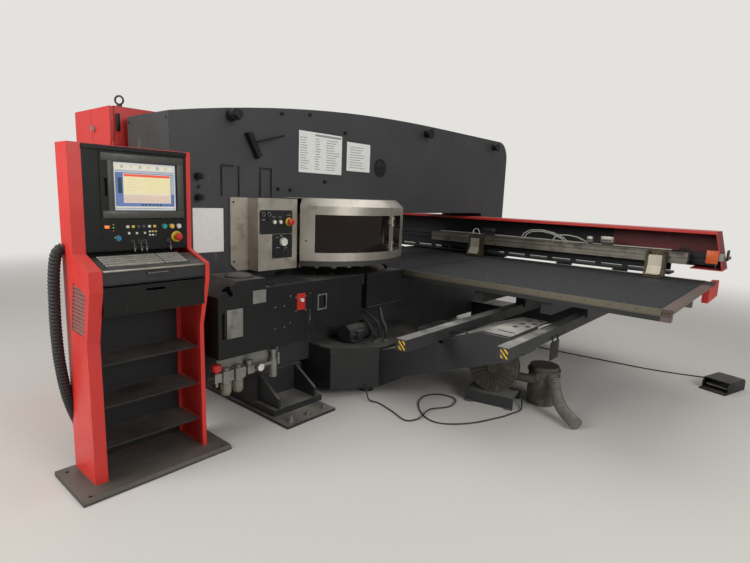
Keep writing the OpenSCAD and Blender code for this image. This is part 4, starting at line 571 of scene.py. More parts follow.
# moulded plastics, rubber, card and print
plasticColumns = ("colour", "shade", "rough", "grain", "dustAmount")
plastics = {
    "blackAbs": ("#1a1b1c", "#232425", 0.45, 0.8, 0.25),
    "greyAbs": ("#4a4b4c", "#3f4041", 0.5, 0.8, 0.25),
    "paleAbs": ("#d9d7cf", "#c5c2b8", 0.4, 0.8, 0.25),
    "redNylon": ("#c2271f", "#ab211b", 0.35, 1.0, 0.25),
    "tealAcrylic": ("#1e9a93", "#188780", 0.25, 1.0, 0.25),
    "amberAcrylic": ("#dcb44c", "#c9a03d", 0.25, 1.0, 0.25),
    "blueAcrylic": ("#2f7fa8", "#286f94", 0.25, 1.0, 0.25),
    "yellowAbs": ("#d9b92c", "#c4a524", 0.45, 1.0, 0.25),
    "orangeAbs": ("#c9531f", "#b34a1c", 0.45, 1.0, 0.25),
    "blackRubber": ("#191919", "#222222", 0.65, 1.5, 0.25),
    "greyHosePvc": ("#6a655c", "#565149", 0.6, 2.0, 0.6),
    "keyGrey": ("#8f8d84", "#7b7970", 0.5, 0.8, 0.25),
    "bezelGrey": ("#403f38", "#38372f", 0.5, 0.8, 0.1),
    "paleTube": ("#b9b7ae", "#a5a299", 0.4, 1.0, 0.25),
    "cardStock": ("#dcdcd8", "#d7d7d3", 0.8, 1.0, 0.1),
    "printedGrey": ("#8e9092", "#7f8183", 0.8, 1.0, 0.1),
}
for name, row in plastics.items():
    mouldedPlastic(name, dict(zip(plasticColumns, row)))

clearPlastics = {  # tint, its darker patches, roughness, share of light let through
    "smokedPolycarbonate": ("#3a2c28", "#2f2422", 0.04, 0.75),
    "agedBowlPolycarbonate": ("#bcb8a6", "#aaa694", 0.12, 0.7),
}


def clearPlastic(name, first, second, rough, through):
    # cast polycarbonate, tinted through its thickness; a little haze from cleaning
    tree, shader, coords = newFinish(name)
    connect(tree, shader, {
        "Base Color": shades(tree, ramp(tree, noise(tree, coords, 2.0, 2.0), 0.3, 0.7), linear(first),
                             linear(second)),
        "Roughness": ramp(tree, noise(tree, coords, 6.0, 6.0), 0.4, 0.75, rough, rough + 0.12),
        "IOR": 1.58, "Transmission Weight": through})


for name, row in clearPlastics.items():
    clearPlastic(name, *row)

deck = {  # millimetres from the shared origin
    "tuftGap": 14,
    "root": "#050607",
    # the tip and streak colours are painted glints and painted sheen on the bristles
    "tip": "#2c3136",
    "sheenStreak": "#2f3338",
    "edgeFront": 378.5,  # the aluminium strip lies in front of this
    "edgeLow": 880,
    "edgeColour": "#6f6a5c",
    "stripStart": 2479.5,  # the outer strip, brown as far back as stripSplit
    "stripSplit": 1700,
    "stripColour": "#5f524a",
    "stripRear": "#1d1c1c",
    "underTop": 904,
    "underColour": "#1f2021",
    "bracketStart": 2499,  # red corner brackets
    "bracketFront": 1639,
    "bracketTop": 905,
    "bracketRear": 1959,
    "bracketColour": "#b8251f",
}


def brushNylon(name, look):
    # black bristles on the deck with blue-grey glints painted at the tuft tips and lighter streaks painted as
    # sheen, and the strips that frame them
    tree, shader, coords = newFinish(name)
    tufts = addNode(tree, "TexVoronoi", {"Vector": coords, "Scale": 1000 / look["tuftGap"],
                                         "Randomness": 0.75})
    tip = ramp(tree, tufts.outputs["Distance"], 0.0, 0.55, 1.0, 0.0)
    # painted sheen: lighter wavy streaks across the bristles; painted glints: blue-grey at the middle of each
    # tuft
    sheenStreak = ramp(tree, noise(tree, coords, 7.0, 6.0, (0.5, 2, 1)), 0.4, 0.72)
    colour = shades(tree, times(tree, tip, 0.6), linear(look["root"]), linear(look["tip"]))
    colour = shades(tree, times(tree, sheenStreak, 0.35), colour, linear(look["sheenStreak"]))
    edge = insideBox(tree, coords, (None, None, look["edgeLow"]), (None, look["edgeFront"], None))
    colour = shades(tree, edge, colour, linear(look["edgeColour"]))
    apart = addNode(tree, "Math", {0: part(tree, coords, 0)}, operation="ABSOLUTE").outputs[0]
    front = insideBox(tree, coords, (None, None, None), (None, look["stripSplit"], None))
    strip = combine(tree, "GREATER_THAN", apart, look["stripStart"] / 1000)
    stripColour = shades(tree, front, linear(look["stripRear"]), linear(look["stripColour"]))
    colour = shades(tree, strip, colour, stripColour)
    under = insideBox(tree, coords, (None, None, None), (None, None, look["underTop"]))
    below = times(tree, under, combine(tree, "SUBTRACT", 1.0, larger(tree, edge, strip)))
    colour = shades(tree, below, colour, linear(look["underColour"]))
    low = insideBox(tree, coords, (None, look["bracketFront"], None), (None, None, look["bracketTop"]))
    low = larger(tree, low, insideBox(tree, coords, (None, look["bracketRear"], None), (None, None, None)))
    bracket = times(tree, combine(tree, "GREATER_THAN", apart, look["bracketStart"] / 1000), low)
    flat = larger(tree, larger(tree, edge, strip), below)
    height = times(tree, tip, combine(tree, "SUBTRACT", 1.0, flat))
    connect(tree, shader, {
        "Base Color": shades(tree, bracket, colour, linear(look["bracketColour"])),
        "Metallic": times(tree, edge, 0.8), "Roughness": ramp(tree, flat, 0.0, 1.0, 0.9, 0.45),
        "Normal": bumped(tree, height, 0.9, 0.004, rounded(tree, edgeWidth["bristle"]))})


brushNylon("deckBristle", deck)

tuftFinishes = {  # colour at the root and at the tip, the lighter tip a painted glint; heights of both in millimetres
    "bristleNylon": ("#08090b", "#3a3f46", 925, 928.4),
    "stripNylon": ("#0a0a0b", "#2b2c2e", 930, 943),
}


def tuftNylon(name, root, tip, low, high):
    # single tufts: black at the root, lighter towards the tips as a painted glint
    tree, shader, coords = newFinish(name)
    tall = ramp(tree, part(tree, coords, 2), low / 1000, high / 1000)
    patch = ramp(tree, noise(tree, coords, 9.0, 5.0), 0.35, 0.7, 0.3, 1.0)
    colour = shades(tree, times(tree, tall, patch), linear(root), linear(tip))
    connect(tree, shader, {"Base Color": colour, "Roughness": 0.6})


for name, row in tuftFinishes.items():
    tuftNylon(name, *row)

litPanels = {  # two shades and the strength of the glow
    "screenBlue": ("#56689a", "#6375a4", 0.35),
    "screenWhite": ("#cfcfc4", "#c5c6bd", 0.35),
    "screenGrey": ("#a3a7ae", "#8f949d", 0.4),
    "screenCream": ("#d9cda0", "#ddd2ae", 0.35),
    "screenRed": ("#d8553f", "#cf4a38", 0.45),
    "screenSand": ("#c9b39f", "#bfae9e", 0.45),
    "screenTeal": ("#1c3c46", "#23454f", 0.2),
    "lampOrange": ("#e8772a", "#e06a20", 0.8),
    "lampGreen": ("#4fc25a", "#45b350", 0.7),
}


def litPanel(name, first, second, strength):
    # back-lit liquid crystal behind an anti-glare film, or a lamp behind its cap
    tree, shader, coords = newFinish(name)
    glow = shades(tree, ramp(tree, noise(tree, coords, 8.0, 2.0), 0.3, 0.7), linear(first), linear(second))
    connect(tree, shader, {"Base Color": glow, "Emission Color": glow, "Emission Strength": strength,
                           "Roughness": 0.25})


for name, row in litPanels.items():
    litPanel(name, *row)

tape = {"dark": "#1a1a19", "bright": "#c9a22a", "scuffed": "#6d665a", "period": 34}  # period in millimetres


def hazardPaint(name, look):
    # slanting yellow and black bands, scuffed; one pair is a period long, measured along x or z
    tree, shader, coords = newFinish(name)
    slant = combine(tree, "ADD", part(tree, coords, 0), part(tree, coords, 2))
    slant = times(tree, slant, 1000 / look["period"])
    share = addNode(tree, "Math", {0: slant}, operation="FRACT").outputs[0]
    colour = shades(tree, combine(tree, "GREATER_THAN", share, 0.5), linear(look["dark"]),
                    linear(look["bright"]))
    scuff = ramp(tree, noise(tree, coords, 22.0, 8.0), 0.55, 0.7)
    colour = shades(tree, times(tree, scuff, 0.6), colour, linear(look["scuffed"]))
    connect(tree, shader, {"Base Color": colour, "Roughness": 0.5})


hazardPaint("hazardTape", tape)
print("finishes ready:", len(finishes))

nodeFinishes = {
    "blackPowderCoat": "frame",
    "chalkedPowderCoat": "front_cover",
    "castingEnamel": "feet base blower_stand",
    "armEnamel": "table_arms y_rails",
    "coverPowderCoat": "lower_covers",
    "carriagePaint": "carriage_base",
    "redStoveEnamel": "carriage_cover",
    "cabinetEnamel": "cabinet_body cabinet_door_left cabinet_door_right",
    "consoleEnamel": "console_body",
    "blackStoveEnamel": "console_panel drawer pedal_body",
    "switchPlateEnamel": "switch_plate",
    "brushedStainless": "guard_panels guard_door",
    "boxStainless": "control_box",
    "oiledBeamAluminium": "x_beam",
    "oiledTurretSteel": "upper_turret lower_turret turret_shafts ram_guide",
    "groundToolSteel": "upper_tools ram",
    "zincPlate": "air_unit",
    "blackOxideSteel": "plate_fittings",
    "chromatedClamp": "clamp_bodies",
    "oiledJawSteel": "clamp_jaw_near clamp_jaw_far",
    "sandCastAluminium": "blower",
    "hammeredCanister": "canister",
    "pressedTread": "pedal_tread",
    "blackAbs": "keyboard_tray box_dial",
    "paleAbs": "box_button_left box_button_right reset_button switch_knob box_selector",
    "redNylon": "console_estop box_estop air_knob",
    "tealAcrylic": "start_button",
    "amberAcrylic": "hold_button",
    "blueAcrylic": "power_button",
    "blackRubber": "brush_strips console_conduit blower_cord pedal_cord",
    "greyHosePvc": "blower_hose",
    "smokedPolycarbonate": "guard_window",
    "agedBowlPolycarbonate": "air_bowls",
    "deckBristle": "side_table_right side_table_left centre_table",
    "screenBlue": "screen",
}
for finish, names in nodeFinishes.items():
    for name in names.split():
        for place in nodes[name].material_slots:
            place.material = finishes[finish]
print("CAD nodes dressed")

# bolts and paper on the operator's side of the frame; the papers carry plain bars for print
sidePlate = {
    "face": 262,
    "bolts": [(-630, 1526), (-524, 1522), (10, 1971), (-193, 1593)],
    "boltSize": 20,
    "boltHeight": 14,
    "noseScrews": [(-238, 310), (-238, 1900), (238, 310), (238, 1900)],
    "noseFace": -1400.5,
    "paper": 0.8,
    "printRow": 5,
    "sheets": [  # y range, z range, columns of print as shares of the width, rows
        ((-448, -20), (1652, 1940), [(0.03, 0.24), (0.36, 0.5), (0.62, 0.95)], 13),
        ((36, 305), (1690, 1909), [(0.12, 0.82)], 9),
        ((-1267, -1059), (1120, 1392), [], 0),
    ],
}
bm = bmesh.new()
for y, z in sidePlate["bolts"]:
    addHexBolt(bm, (sidePlate["face"] - 1, y, z), outward, sidePlate["boltSize"], sidePlate["boltHeight"])
for x, z in sidePlate["noseScrews"]:
    addCap(bm, (x, sidePlate["noseFace"], z), forward, 9, 4)
makePiece("frame_fixings", bm, "blackOxideSteel", "machine")

bm = bmesh.new()
face = sidePlate["face"] + 0.2
for (y0, y1), (z0, z1), columns, rows in sidePlate["sheets"]:
    wide, tall = y1 - y0, z1 - z0
    addBlock(bm, (face, y0, z0), (face + sidePlate["paper"], y1, z1))
    if len(columns) > 1:
        addBlock(bm, (face + 0.7, y0 + 0.36 * wide, z1 - 26), (face + 1, y1 - 10, z1 - 12), 1)
    for row in range(rows):
        z = z1 - tall * (0.15 + 0.8 * row / rows)
        for start, end in columns:
            stop = start + (end - start) * chance.uniform(0.55, 1.0)
            addBlock(bm, (face + 0.7, y0 + start * wide, z - sidePlate["printRow"]),
                     (face + 1, y0 + stop * wide, z), 1)
makePiece("side_plate_sheets", bm, "cardStock printedGrey", "machine")

# screws, blank plates and the finger slot's liner on the lower covers
lowerCovers = {
    "face": 592,
    "plates": [(-1252, -1145, 648, 820), (-1073, -977, 834, 914)],
    "screws": [(-906, 790), (-834, 789), (-784, 848), (-617, 847), (-905, 651), (-832, 650), (-786, 672),
               (-616, 670), (-738, 832), (-654, 832), (-738, 738), (-654, 738)],
    "darkScrews": [(-1050, 565), (-560, 905), (-118, 905), (-118, 620), (360, 905), (-20, 905)],
    "liner": [(-548, -540, 720, 828), (-472, -464, 720, 828), (-541, -471, 720, 727), (-541, -471, 821, 828)],
}
bm = bmesh.new()
face = lowerCovers["face"]
for plate in lowerCovers["plates"]:
    y0, y1, z0, z1 = plate
    addBlock(bm, (face, y0, z0), (face + 1, y1, z1), 1)
    addCornerCaps(bm, face + 1, plate, 6, 2.5, 1.2)
for y, z in lowerCovers["screws"]:
    addCap(bm, (face, y, z), outward, 4.5, 2.5)
for y, z in lowerCovers["darkScrews"]:
    addCap(bm, (face, y, z), outward, 5, 2, 2)
for y0, y1, z0, z1 in lowerCovers["liner"]:
    addBlock(bm, (face + 1, y0, z0), (face + 4.5, y1, z1), 1, 0.6)
makePiece("lower_cover_fixings", bm, "zincPlate zincPlate blackOxideSteel", "machine")

# stud anchors with washer and nut in the holes of both front feet
anchors = {
    "x": 652,
    "y": -672.5,
    "pitch": 146,
    "parts": [(19.5, 23, 23, 24), (23, 39, 15, 6), (20, 58, 9, 24)],  # bottom, top, radius, sides
}
bm = bmesh.new()
for side in (-1, 1):
    for step in (-1, 0, 1):
        x, y = side * anchors["x"], anchors["y"] + step * anchors["pitch"]
        for low, high, radius, sides in anchors["parts"]:
            addRod(bm, (x, y, low), (x, y, high), radius, sides=sides)
makePiece("foot_anchors", bm, "zincPlate", "machine")

# bristles that carry the sheet beside the front cover, and tufts on the three decks
bristles = {
    "strip": {"x": (282, 586), "y": (-923, -600), "z": (924, 930), "gap": 9, "tall": 13},
    "deckTop": 924.8,
    "gap": 24,
    "tall": 3.4,
    "centre": ((-588, 396), (588, 2222)),
    "turretClear": 584,  # the centre deck leaves the lower turret free
    "sideX": (612, 2476),
    "sideY": (382, 1946),
    "bar": ((1949, 1959.5), (920, 928.4)),
    "screws": (range(700, 2450, 150), 369.8, 906),
}
bm = bmesh.new()
(x0, x1), (y0, y1), (z0, z1) = (bristles["strip"][k] for k in "xyz")
addBlock(bm, (x0, y0, z0), (x1, y1, z1), 1)
addTufts(bm, (x0 + 2, y0 + 2, z1 - 0.5), (x1 - 2, y1 - 2, z1 - 0.5), bristles["strip"]["gap"],
         bristles["strip"]["tall"])
strips = makePiece("brush_strip_bristles", bm, "stripNylon blackAbs", "machine", 60)
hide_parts("brush_strips")

bm = bmesh.new()
deckTop, gap, tall = bristles["deckTop"], bristles["gap"], bristles["tall"]
low, high = bristles["centre"]
addTufts(bm, (*low, deckTop), (*high, deckTop), gap, tall,
         skip=lambda x, y: x * x + y * y < bristles["turretClear"] ** 2)
makePiece("centre_table_bristles", bm, "bristleNylon", "machine", 60)
for side, name in ((1, "right"), (-1, "left")):
    x0, x1 = sorted(side * x for x in bristles["sideX"])
    y0, y1 = bristles["sideY"]
    bm = bmesh.new()
    addTufts(bm, (x0, y0, deckTop), (x1, y1, deckTop), gap, tall)
    makePiece("side_table_bristles_" + name, bm, "bristleNylon", "carriage", 60)
    bm = bmesh.new()
    (barFront, barRear), (barLow, barTop) = bristles["bar"]
    addBlock(bm, (x0, barFront, barLow), (x1, barRear, barTop), 0, 1)
    places, y, z = bristles["screws"]
    for x in places:
        addCap(bm, (side * x, y, z), forward, 4, 1.6, 1)
    makePiece("side_table_trim_" + name, bm, "extrudedAluminium blackOxideSteel", "carriage")

# air unit: dial with its marks and needle, and two rubber hoses
airUnit = {
    "dial": (556, -986, 406),
    "radius": 25,
    "marks": [-45 + 33.75 * step for step in range(9)],
    "markRadius": 18,
    "markHalf": 0.8,
    "hoses": [  # points, radius
        ([(500, -850, 486), (500, -850, 512), (496, -842, 528), (470, -826, 548), (430, -820, 560)], 9),
        ([(500, -1296, 398), (500, -1330, 396), (470, -1352, 380), (400, -1356, 340), (330, -1340, 320),
          (262, -1330, 330)], 8),
    ],
}
bm = bmesh.new()
x, y, z = airUnit["dial"]
addRod(bm, (x - 1, y, z), (x + 0.6, y, z), airUnit["radius"] - 2, 1)
addRing(bm, (x, y, z), outward, airUnit["radius"] - 1, 1.8)
for degrees in airUnit["marks"]:
    across, up = onCircle(degrees, airUnit["markRadius"])
    half = airUnit["markHalf"]
    addBlock(bm, (x + 0.5, y + across - half, z + up - half), (x + 0.9, y + across + half, z + up + half), 2)
addBlock(bm, (x + 0.9, y - 1, z - 3), (x + 1.4, y + 1, z + 17), 2, 0, Matrix.Rotation(0.6, 4, "X"))
for points, radius in airUnit["hoses"]:
    addTube(bm, points, radius, 2)
makePiece("air_unit_dial", bm, "zincPlate paleAbs blackRubber", "machine")

# drive motor and its pipes below the covers, seen only as dark shapes in the gap
motor = {
    "middle": (470, 450),  # x and z
    "radius": 66,
    "length": (-150, 60),
    "fins": (range(0, 360, 30), -140, 40, 2),  # angles, start, end, half thickness
    "flange": (82, 78),  # end and radius
    "blocks": [((418, -110, 374), (522, 20, 400), 0, 3), ((520, -90, 420), (556, -20, 480), 0, 3)],
    "pipes": [  # points, radius, skin; each stands in a nut
        ([(590, 120, 374), (592, 120, 470), (580, 110, 520), (540, 90, 560), (470, 70, 600)], 13, 2),
        ([(640, 150, 374), (640, 150, 440), (628, 146, 500), (600, 140, 545), (560, 150, 640)], 16, 0),
        ([(610, 60, 374), (610, 60, 430), (560, 40, 500), (480, 30, 590)], 9, 2),
    ],
    "nut": (22, 22),  # height and radius
}
bm = bmesh.new()
x, z = motor["middle"]
start, end = motor["length"]
addRod(bm, (x, start, z), (x, end, z), motor["radius"])
angles, finStart, finEnd, half = motor["fins"]
for degrees in angles:
    across, up = onCircle(degrees, motor["radius"])
    addBlock(bm, (x + across - half, finStart, z + up - half), (x + across + half, finEnd, z + up + half))
addRod(bm, (x, end, z), (x, motor["flange"][0], z), motor["flange"][1])
for row in motor["blocks"]:
    addBlock(bm, *row)
for row in motor["pipes"]:
    addTube(bm, *row)
for points, radius, skin in motor["pipes"]:
    x, y, z = points[0]
    addRod(bm, points[0], (x, y, z + motor["nut"][0]), motor["nut"][1], 1, sides=6)
makePiece("drive_motor", bm, "castingEnamel zincPlate blackRubber", "machine")

# control box: rings, corner screws, keys and plain bars for print on its two black plates
box = {
    "face": 389,
    "plates": [(-877, -606, 1231, 1387), (-776, -606, 1067, 1229)],
    "stop": (-636, 1309),
    "dials": [(1.5, -685, 1176, 29, 2.5), (1, -661, 1106, 21, 1.5)],  # lift, y, z, radius, thickness
    "keys": [(-852, 1360), (-806, 1360)],
    "buttons": [(0.8, -760, 1309, 14, 1.2), (0.8, -710, 1309, 14, 1.2)],
    "bars": [(-845, 1322, 22, 5), (-760, 1340, 26, 4), (-710, 1340, 22, 4), (-636, 1352, 30, 4),
             (-735, 1205, 18, 4), (-700, 1215, 20, 4), (-730, 1136, 30, 4), (-661, 1136, 24, 4)],
    "sideScrews": [(277, -995, 1050), (277, -995, 1432)],
}
bm = bmesh.new()
face = box["face"]
addCollar(bm, face, *box["stop"], 1.5, 24, 4.5)
for lift, y, z, radius, thickness in box["dials"]:
    addRing(bm, (face + lift, y, z), outward, radius, thickness)
for plate in box["plates"]:
    addCornerCaps(bm, face, plate, 7, 3.5, 1.5)
for y, z in box["keys"]:
    addRing(bm, (face + 11, y, z), outward, 12, 1.6)
    addBlock(bm, (face + 11, y - 1.2, z - 7), (face + 15, y + 1.2, z + 7), 2)
for lift, y, z, radius, thickness in box["buttons"]:
    addRing(bm, (face + lift, y, z), outward, radius, thickness)
for y, z, wide, tall in box["bars"]:
    addBlock(bm, (face - 0.2, y - wide / 2, z), (face + 0.3, y + wide / 2, z + tall), 3)
for place in box["sideScrews"]:
    addCap(bm, place, outward, 7, 3, 2)
makePiece("control_box_trim", bm, "zincPlate yellowAbs blackOxideSteel printedGrey", "machine")

# the picture on the console screen: plain windows, bars and fields
screenPicture = {
    "face": 422, "left": -1780, "right": -1453, "low": 1382, "high": 1624,
    "fields": [  # left, right, low and high as shares of the screen, skin, layer in millimetres
        (0.01, 0.99, 0.01, 0.99, 0, 0.3), (0.03, 0.97, 0.09, 0.79, 1, 0.5), (0.03, 0.97, 0.8, 0.84, 2, 0.5),
        (0.02, 0.98, 0.035, 0.055, 2, 0.5), (0.07, 0.13, 0.36, 0.68, 6, 0.7),
        (0.92, 0.965, 0.36, 0.78, 2, 0.7), (0.15, 0.91, 0.16, 0.77, 0, 0.7), (0.16, 0.9, 0.71, 0.76, 3, 0.9),
        (0.16, 0.9, 0.35, 0.71, 4, 0.9), (0.16, 0.9, 0.17, 0.33, 5, 0.9)],
    "icons": 13,
    "tabs": 6,
    "lines": 5,
}


def addField(bm, left, right, low, high, skin, layer):
    # a field of the picture, placed by shares of the screen's width and height
    face, y, z = (screenPicture[k] for k in ("face", "left", "low"))
    wide, tall = screenPicture["right"] - y, screenPicture["high"] - z
    addBlock(bm, (face - 0.1, y + left * wide, z + low * tall),
             (face + layer, y + right * wide, z + high * tall), skin)


bm = bmesh.new()
for row in screenPicture["fields"]:
    addField(bm, *row)
for step in range(screenPicture["icons"]):
    addField(bm, 0.05 + step * 0.07, 0.085 + step * 0.07, 0.88, 0.94, (4, 2, 4, 5)[step % 4], 0.5)
for step in range(screenPicture["tabs"]):
    addField(bm, 0.42 + step * 0.06, 0.455 + step * 0.06, 0.105, 0.14, 6, 0.7)
for row in range(screenPicture["lines"]):
    addField(bm, 0.2, 0.34 + 0.1 * (row % 2), 0.42 + row * 0.055, 0.428 + row * 0.055, 5, 1.1)
makePiece("screen_picture", bm,
          "screenWhite screenBlue screenGrey screenRed screenCream screenSand screenTeal", "machine")

# caps and lamps of the console panel
console = {
    "face": 432,
    "row": 1300,
    "lowRow": 1243,
    "caps": (-1724, 28, (0, 1, 2, 2, 0, 1)),  # first y, pitch, skins
    "smallCaps": ((-1610, -1594, -1578), (-26, -44), (0, 1, 1, 0, 0, 2)),  # y, below the row, skins
    "rockers": (-1717, -1678, -1636),
    "lamps": [(-1792, 1312, 1), (-1792, 1297, 5), (-1792, 1281, 6), (-1786, 1247, 5)],  # y, z, skin
    "stop": -1462,
    "rings": [(-1529, 1300), (-1489, 1300), (-1449, 1300), (-1771, 1243)],
    "keys": (-1702, -1666, -1640, -1509),
    "edgeRod": [(425, -1845, 1180), (425, -1415, 1180)],
    "screws": ((-1838, -1420), ((1190, 432), (1331, 432), (1350, 436), (1659, 436))),  # y, then z and face
}
bm = bmesh.new()
face, row, lowRow = console["face"], console["row"], console["lowRow"]
first, pitch, skins = console["caps"]
for i, skin in enumerate(skins):
    y = first + pitch * i
    addBlock(bm, (face + 3.5, y - 7.5, row - 5.5), (face + 6.5, y + 7.5, row + 7.5), skin, 0.8)
places, drops, skins = console["smallCaps"]
for i, y in enumerate(places):
    for j, drop in enumerate(drops):
        z = row + drop
        addBlock(bm, (face + 2.5, y - 5.5, z - 4.5), (face + 5, y + 5.5, z + 4.5), skins[i + 3 * j], 0.6)
for y in console["rockers"]:
    addBlock(bm, (face - 0.5, y - 8, row - 41), (face + 2, y + 8, row - 25), 3, 1)
    addBlock(bm, (face + 1.5, y - 5.5, row - 38), (face + 5, y + 5.5, row - 28), 0, 0.8)
addBlock(bm, (face + 3.5, -1835, row - 6), (face + 6.5, -1813, row + 8), 4, 0.8)
for y, z, skin in console["lamps"]:
    addCap(bm, (face, y, z), outward, 3.2, 3, skin, 12)
makePiece("console_lamps", bm, "paleAbs amberAcrylic greyAbs blackAbs lampOrange lampGreen redNylon",
          "machine")

# rings, keys in their locks, the rod below the panel and its screws
bm = bmesh.new()
addCollar(bm, face, console["stop"], lowRow, 1, 25, 5)
for y, z in console["rings"]:
    addRing(bm, (face + 1, y, z), outward, 13.5, 1.3)
for y in console["keys"]:
    z = lowRow - 20
    addRing(bm, (439, y, z), outward, 8, 1.2)
    addTube(bm, [(449, y, z - 4), (453, y + 3, z - 14), (452, y + 4, z - 26)], 1.2)
    addRing(bm, (452, y + 4, z - 30), (1, 0, 0.1), 6, 1.0, 0, 20, 6)
    addBlock(bm, (451, y + 0.5, z - 49), (453, y + 7.5, z - 33), 0, 0.8)
addTube(bm, console["edgeRod"], 2.5, 2)
for y in console["screws"][0]:
    for z, x in console["screws"][1]:
        addCap(bm, (x, y, z), outward, 3, 1.4, 2)
makePiece("console_rings_and_keys", bm, "zincPlate yellowAbs blackOxideSteel", "machine")

# bezel: four bevelled bars round the screen in dark grey
bezel = {"back": 435, "front": 439.5, "left": 60, "lip": 30, "right": 36, "tall": 38, "bevel": 1.5}
bm = bmesh.new()
left, right, low, high = (screenPicture[k] for k in ("left", "right", "low", "high"))
for y0, y1, z0, z1 in ((left - bezel["left"], right + bezel["right"], high + 1, high + bezel["tall"]),
                       (left - bezel["left"], right + bezel["right"], low - bezel["tall"], low - 1),
                       (right + 1, right + bezel["right"], low - 2, high + 2),
                       (left - bezel["lip"], left - 1, low - 2, high + 2)):
    addBlock(bm, (bezel["back"], y0, z0), (bezel["front"], y1, z1), 0, bezel["bevel"])
makePiece("screen_bezel", bm, "bezelGrey", "machine")

# keyboard: rows of keys on the sloping tray; keys right of the gap are the wider ones
keyboard = {
    "rows": 5, "pitch": 25.2, "first": 470, "left": -1891, "right": -1468, "slope": 0.28,
    "trayFront": 594, "trayTop": 1113,
    "key": 16, "wideKey": 20, "wideFrom": -1600, "bar": 96, "barFrom": (-1800, -1690),
    "gap": (-1612, -1596, 6),  # from, to and width of the gap between the two blocks of keys
}
bm = bmesh.new()
lean = Matrix.Rotation(math.atan(keyboard["slope"]), 4, "Y")
for i in range(keyboard["rows"]):
    x = keyboard["first"] + i * keyboard["pitch"]
    top = keyboard["trayTop"] + (keyboard["trayFront"] - x) * keyboard["slope"]
    y = keyboard["left"]
    while y < keyboard["right"] - 12:
        wide = keyboard["wideKey"] if y > keyboard["wideFrom"] else keyboard["key"]
        if i == keyboard["rows"] - 1 and keyboard["barFrom"][0] < y < keyboard["barFrom"][1]:
            wide = keyboard["bar"]
        wide = min(wide, keyboard["right"] - y)
        addBlock(bm, (x - 9, y, top + 5), (x + 9, y + wide - 2.5, top + 10.5), 0, 1.2, lean)
        y += wide
        if keyboard["gap"][0] < y < keyboard["gap"][1]:
            y += keyboard["gap"][2]
makePiece("keyboard_keys", bm, "keyGrey", "tray")

# a bright front edge on the tray, its handle and a dark lip below
trayTrim = {
    "edge": ((603, -1920, 1101), (612.5, -1399, 1109.5), 0, 1.2),
    "handle": (618, (-1711, -1609), 1080, 6.2),
    "posts": (604, (-1706, -1614), 4.5),
    "lip": ((605.5, -1918, 1034.5), (610, -1401, 1042), 1, 0.8),
}
bm = bmesh.new()
addBlock(bm, *trayTrim["edge"])
x, (y0, y1), z, radius = trayTrim["handle"]
addTube(bm, [(x, y0, z), (x, y1, z)], radius, 0, 12)
foot, places, radius = trayTrim["posts"]
for y in places:
    addTube(bm, [(foot, y, z), (x, y, z)], radius)
addBlock(bm, *trayTrim["lip"])
makePiece("tray_trim", bm, "extrudedAluminium blackStoveEnamel", "tray")

# bright slats behind the slanted opening in the console's left panel
slats = {"count": 24, "low": 789, "pitch": 10, "y": (-1981.5, -1978), "tall": 4.5,
         "wires": (0.2, 0.4, 0.6, 0.8)}
bm = bmesh.new()
for i in range(slats["count"]):
    z = slats["low"] + i * slats["pitch"]
    start = 354 + (z - 787) * 55 / 246
    stop = 510 + (z - 779) * 45 / 218 if z < 997 else 555 - (z - 997) * 146 / 36
    if stop > start + 10:
        addBlock(bm, (start - 2, slats["y"][0], z), (stop + 2, slats["y"][1], z + slats["tall"]))
for share in slats["wires"]:
    addTube(bm, [(354 + 156 * share, -1978.5, 786), (409 + 146 * share, -1978.5, 1026 - 30 * share)], 1.8)
makePiece("console_vent_slats", bm, "zincPlate", "machine")

# dark pane in the guard's fixed panel, and a gasket round both windows
guard = {
    "glass": (685, 689), "gasket": (683.5, 684.8), "pane": (11.2, 23.0), "door": (-45.0, 6.6),
    "low": 1099, "high": 1362,
    "hingeScrews": (690.5, (-52.0, -46.5), (1060, 1400)),  # radius, angles, heights
}
bm = bmesh.new()
addArc(bm, guard["glass"], (guard["pane"][0] + 0.04, guard["pane"][1] - 0.04),
       (guard["low"] + 0.3, guard["high"] - 0.3), 0, 10)
makePiece("guard_side_pane", bm, "smokedPolycarbonate", "machine")


def addGasket(bm, angles):
    low, high = guard["low"], guard["high"]
    for z in (low, high):
        addArc(bm, guard["gasket"], angles, (z - 12, z + 12))
    for a in angles:
        addArc(bm, guard["gasket"], (a - 1, a + 1), (low - 10, high + 10), 0, 2)


bm = bmesh.new()
addGasket(bm, guard["door"])
radius, angles, heights = guard["hingeScrews"]
for a in angles:
    for z in heights:
        addCap(bm, (*onCircle(a, radius), z), (*onCircle(a), 0), 4, 1.5, 1)
makePiece("guard_door_gasket", bm, "blackRubber zincPlate", "door_of_guard")
bm = bmesh.new()
addGasket(bm, guard["pane"])
makePiece("guard_panel_gasket", bm, "blackRubber", "machine")

# outer right rail and arm: marking tape, the lock lever and a hanging plate
rail = {
    "tapes": [((1258, -487.7, 583), (1307, -486.9, 642)), ((1774, -166.7, 583), (1822, -165.9, 642))],
    "lever": [(1245, 12, 548), (1248, 12, 570), (1262, 12, 585), (1362, 12, 629), (1429, 12, 640),
              (1438, 12, 634), (1440, 12, 618)],
    "plates": [((1225, 0, 520), (1262, 24, 552), 1, 2), ((1826, 470, 430), (1830, 620, 560), 1, 1)],
    "straps": (500, 590),
}
bm = bmesh.new()
for row in rail["tapes"]:
    addBlock(bm, *row)
addTube(bm, rail["lever"], 7, 1, 12)
for row in rail["plates"]:
    addBlock(bm, *row)
for y in rail["straps"]:
    addBlock(bm, (1825, y - 12, 556), (1829, y + 12, 600), 1, 1)
    addCap(bm, (1824, y, 592), outward, 7, 5, 1)
makePiece("rail_fittings", bm, "hazardTape blackOxideSteel", "machine")

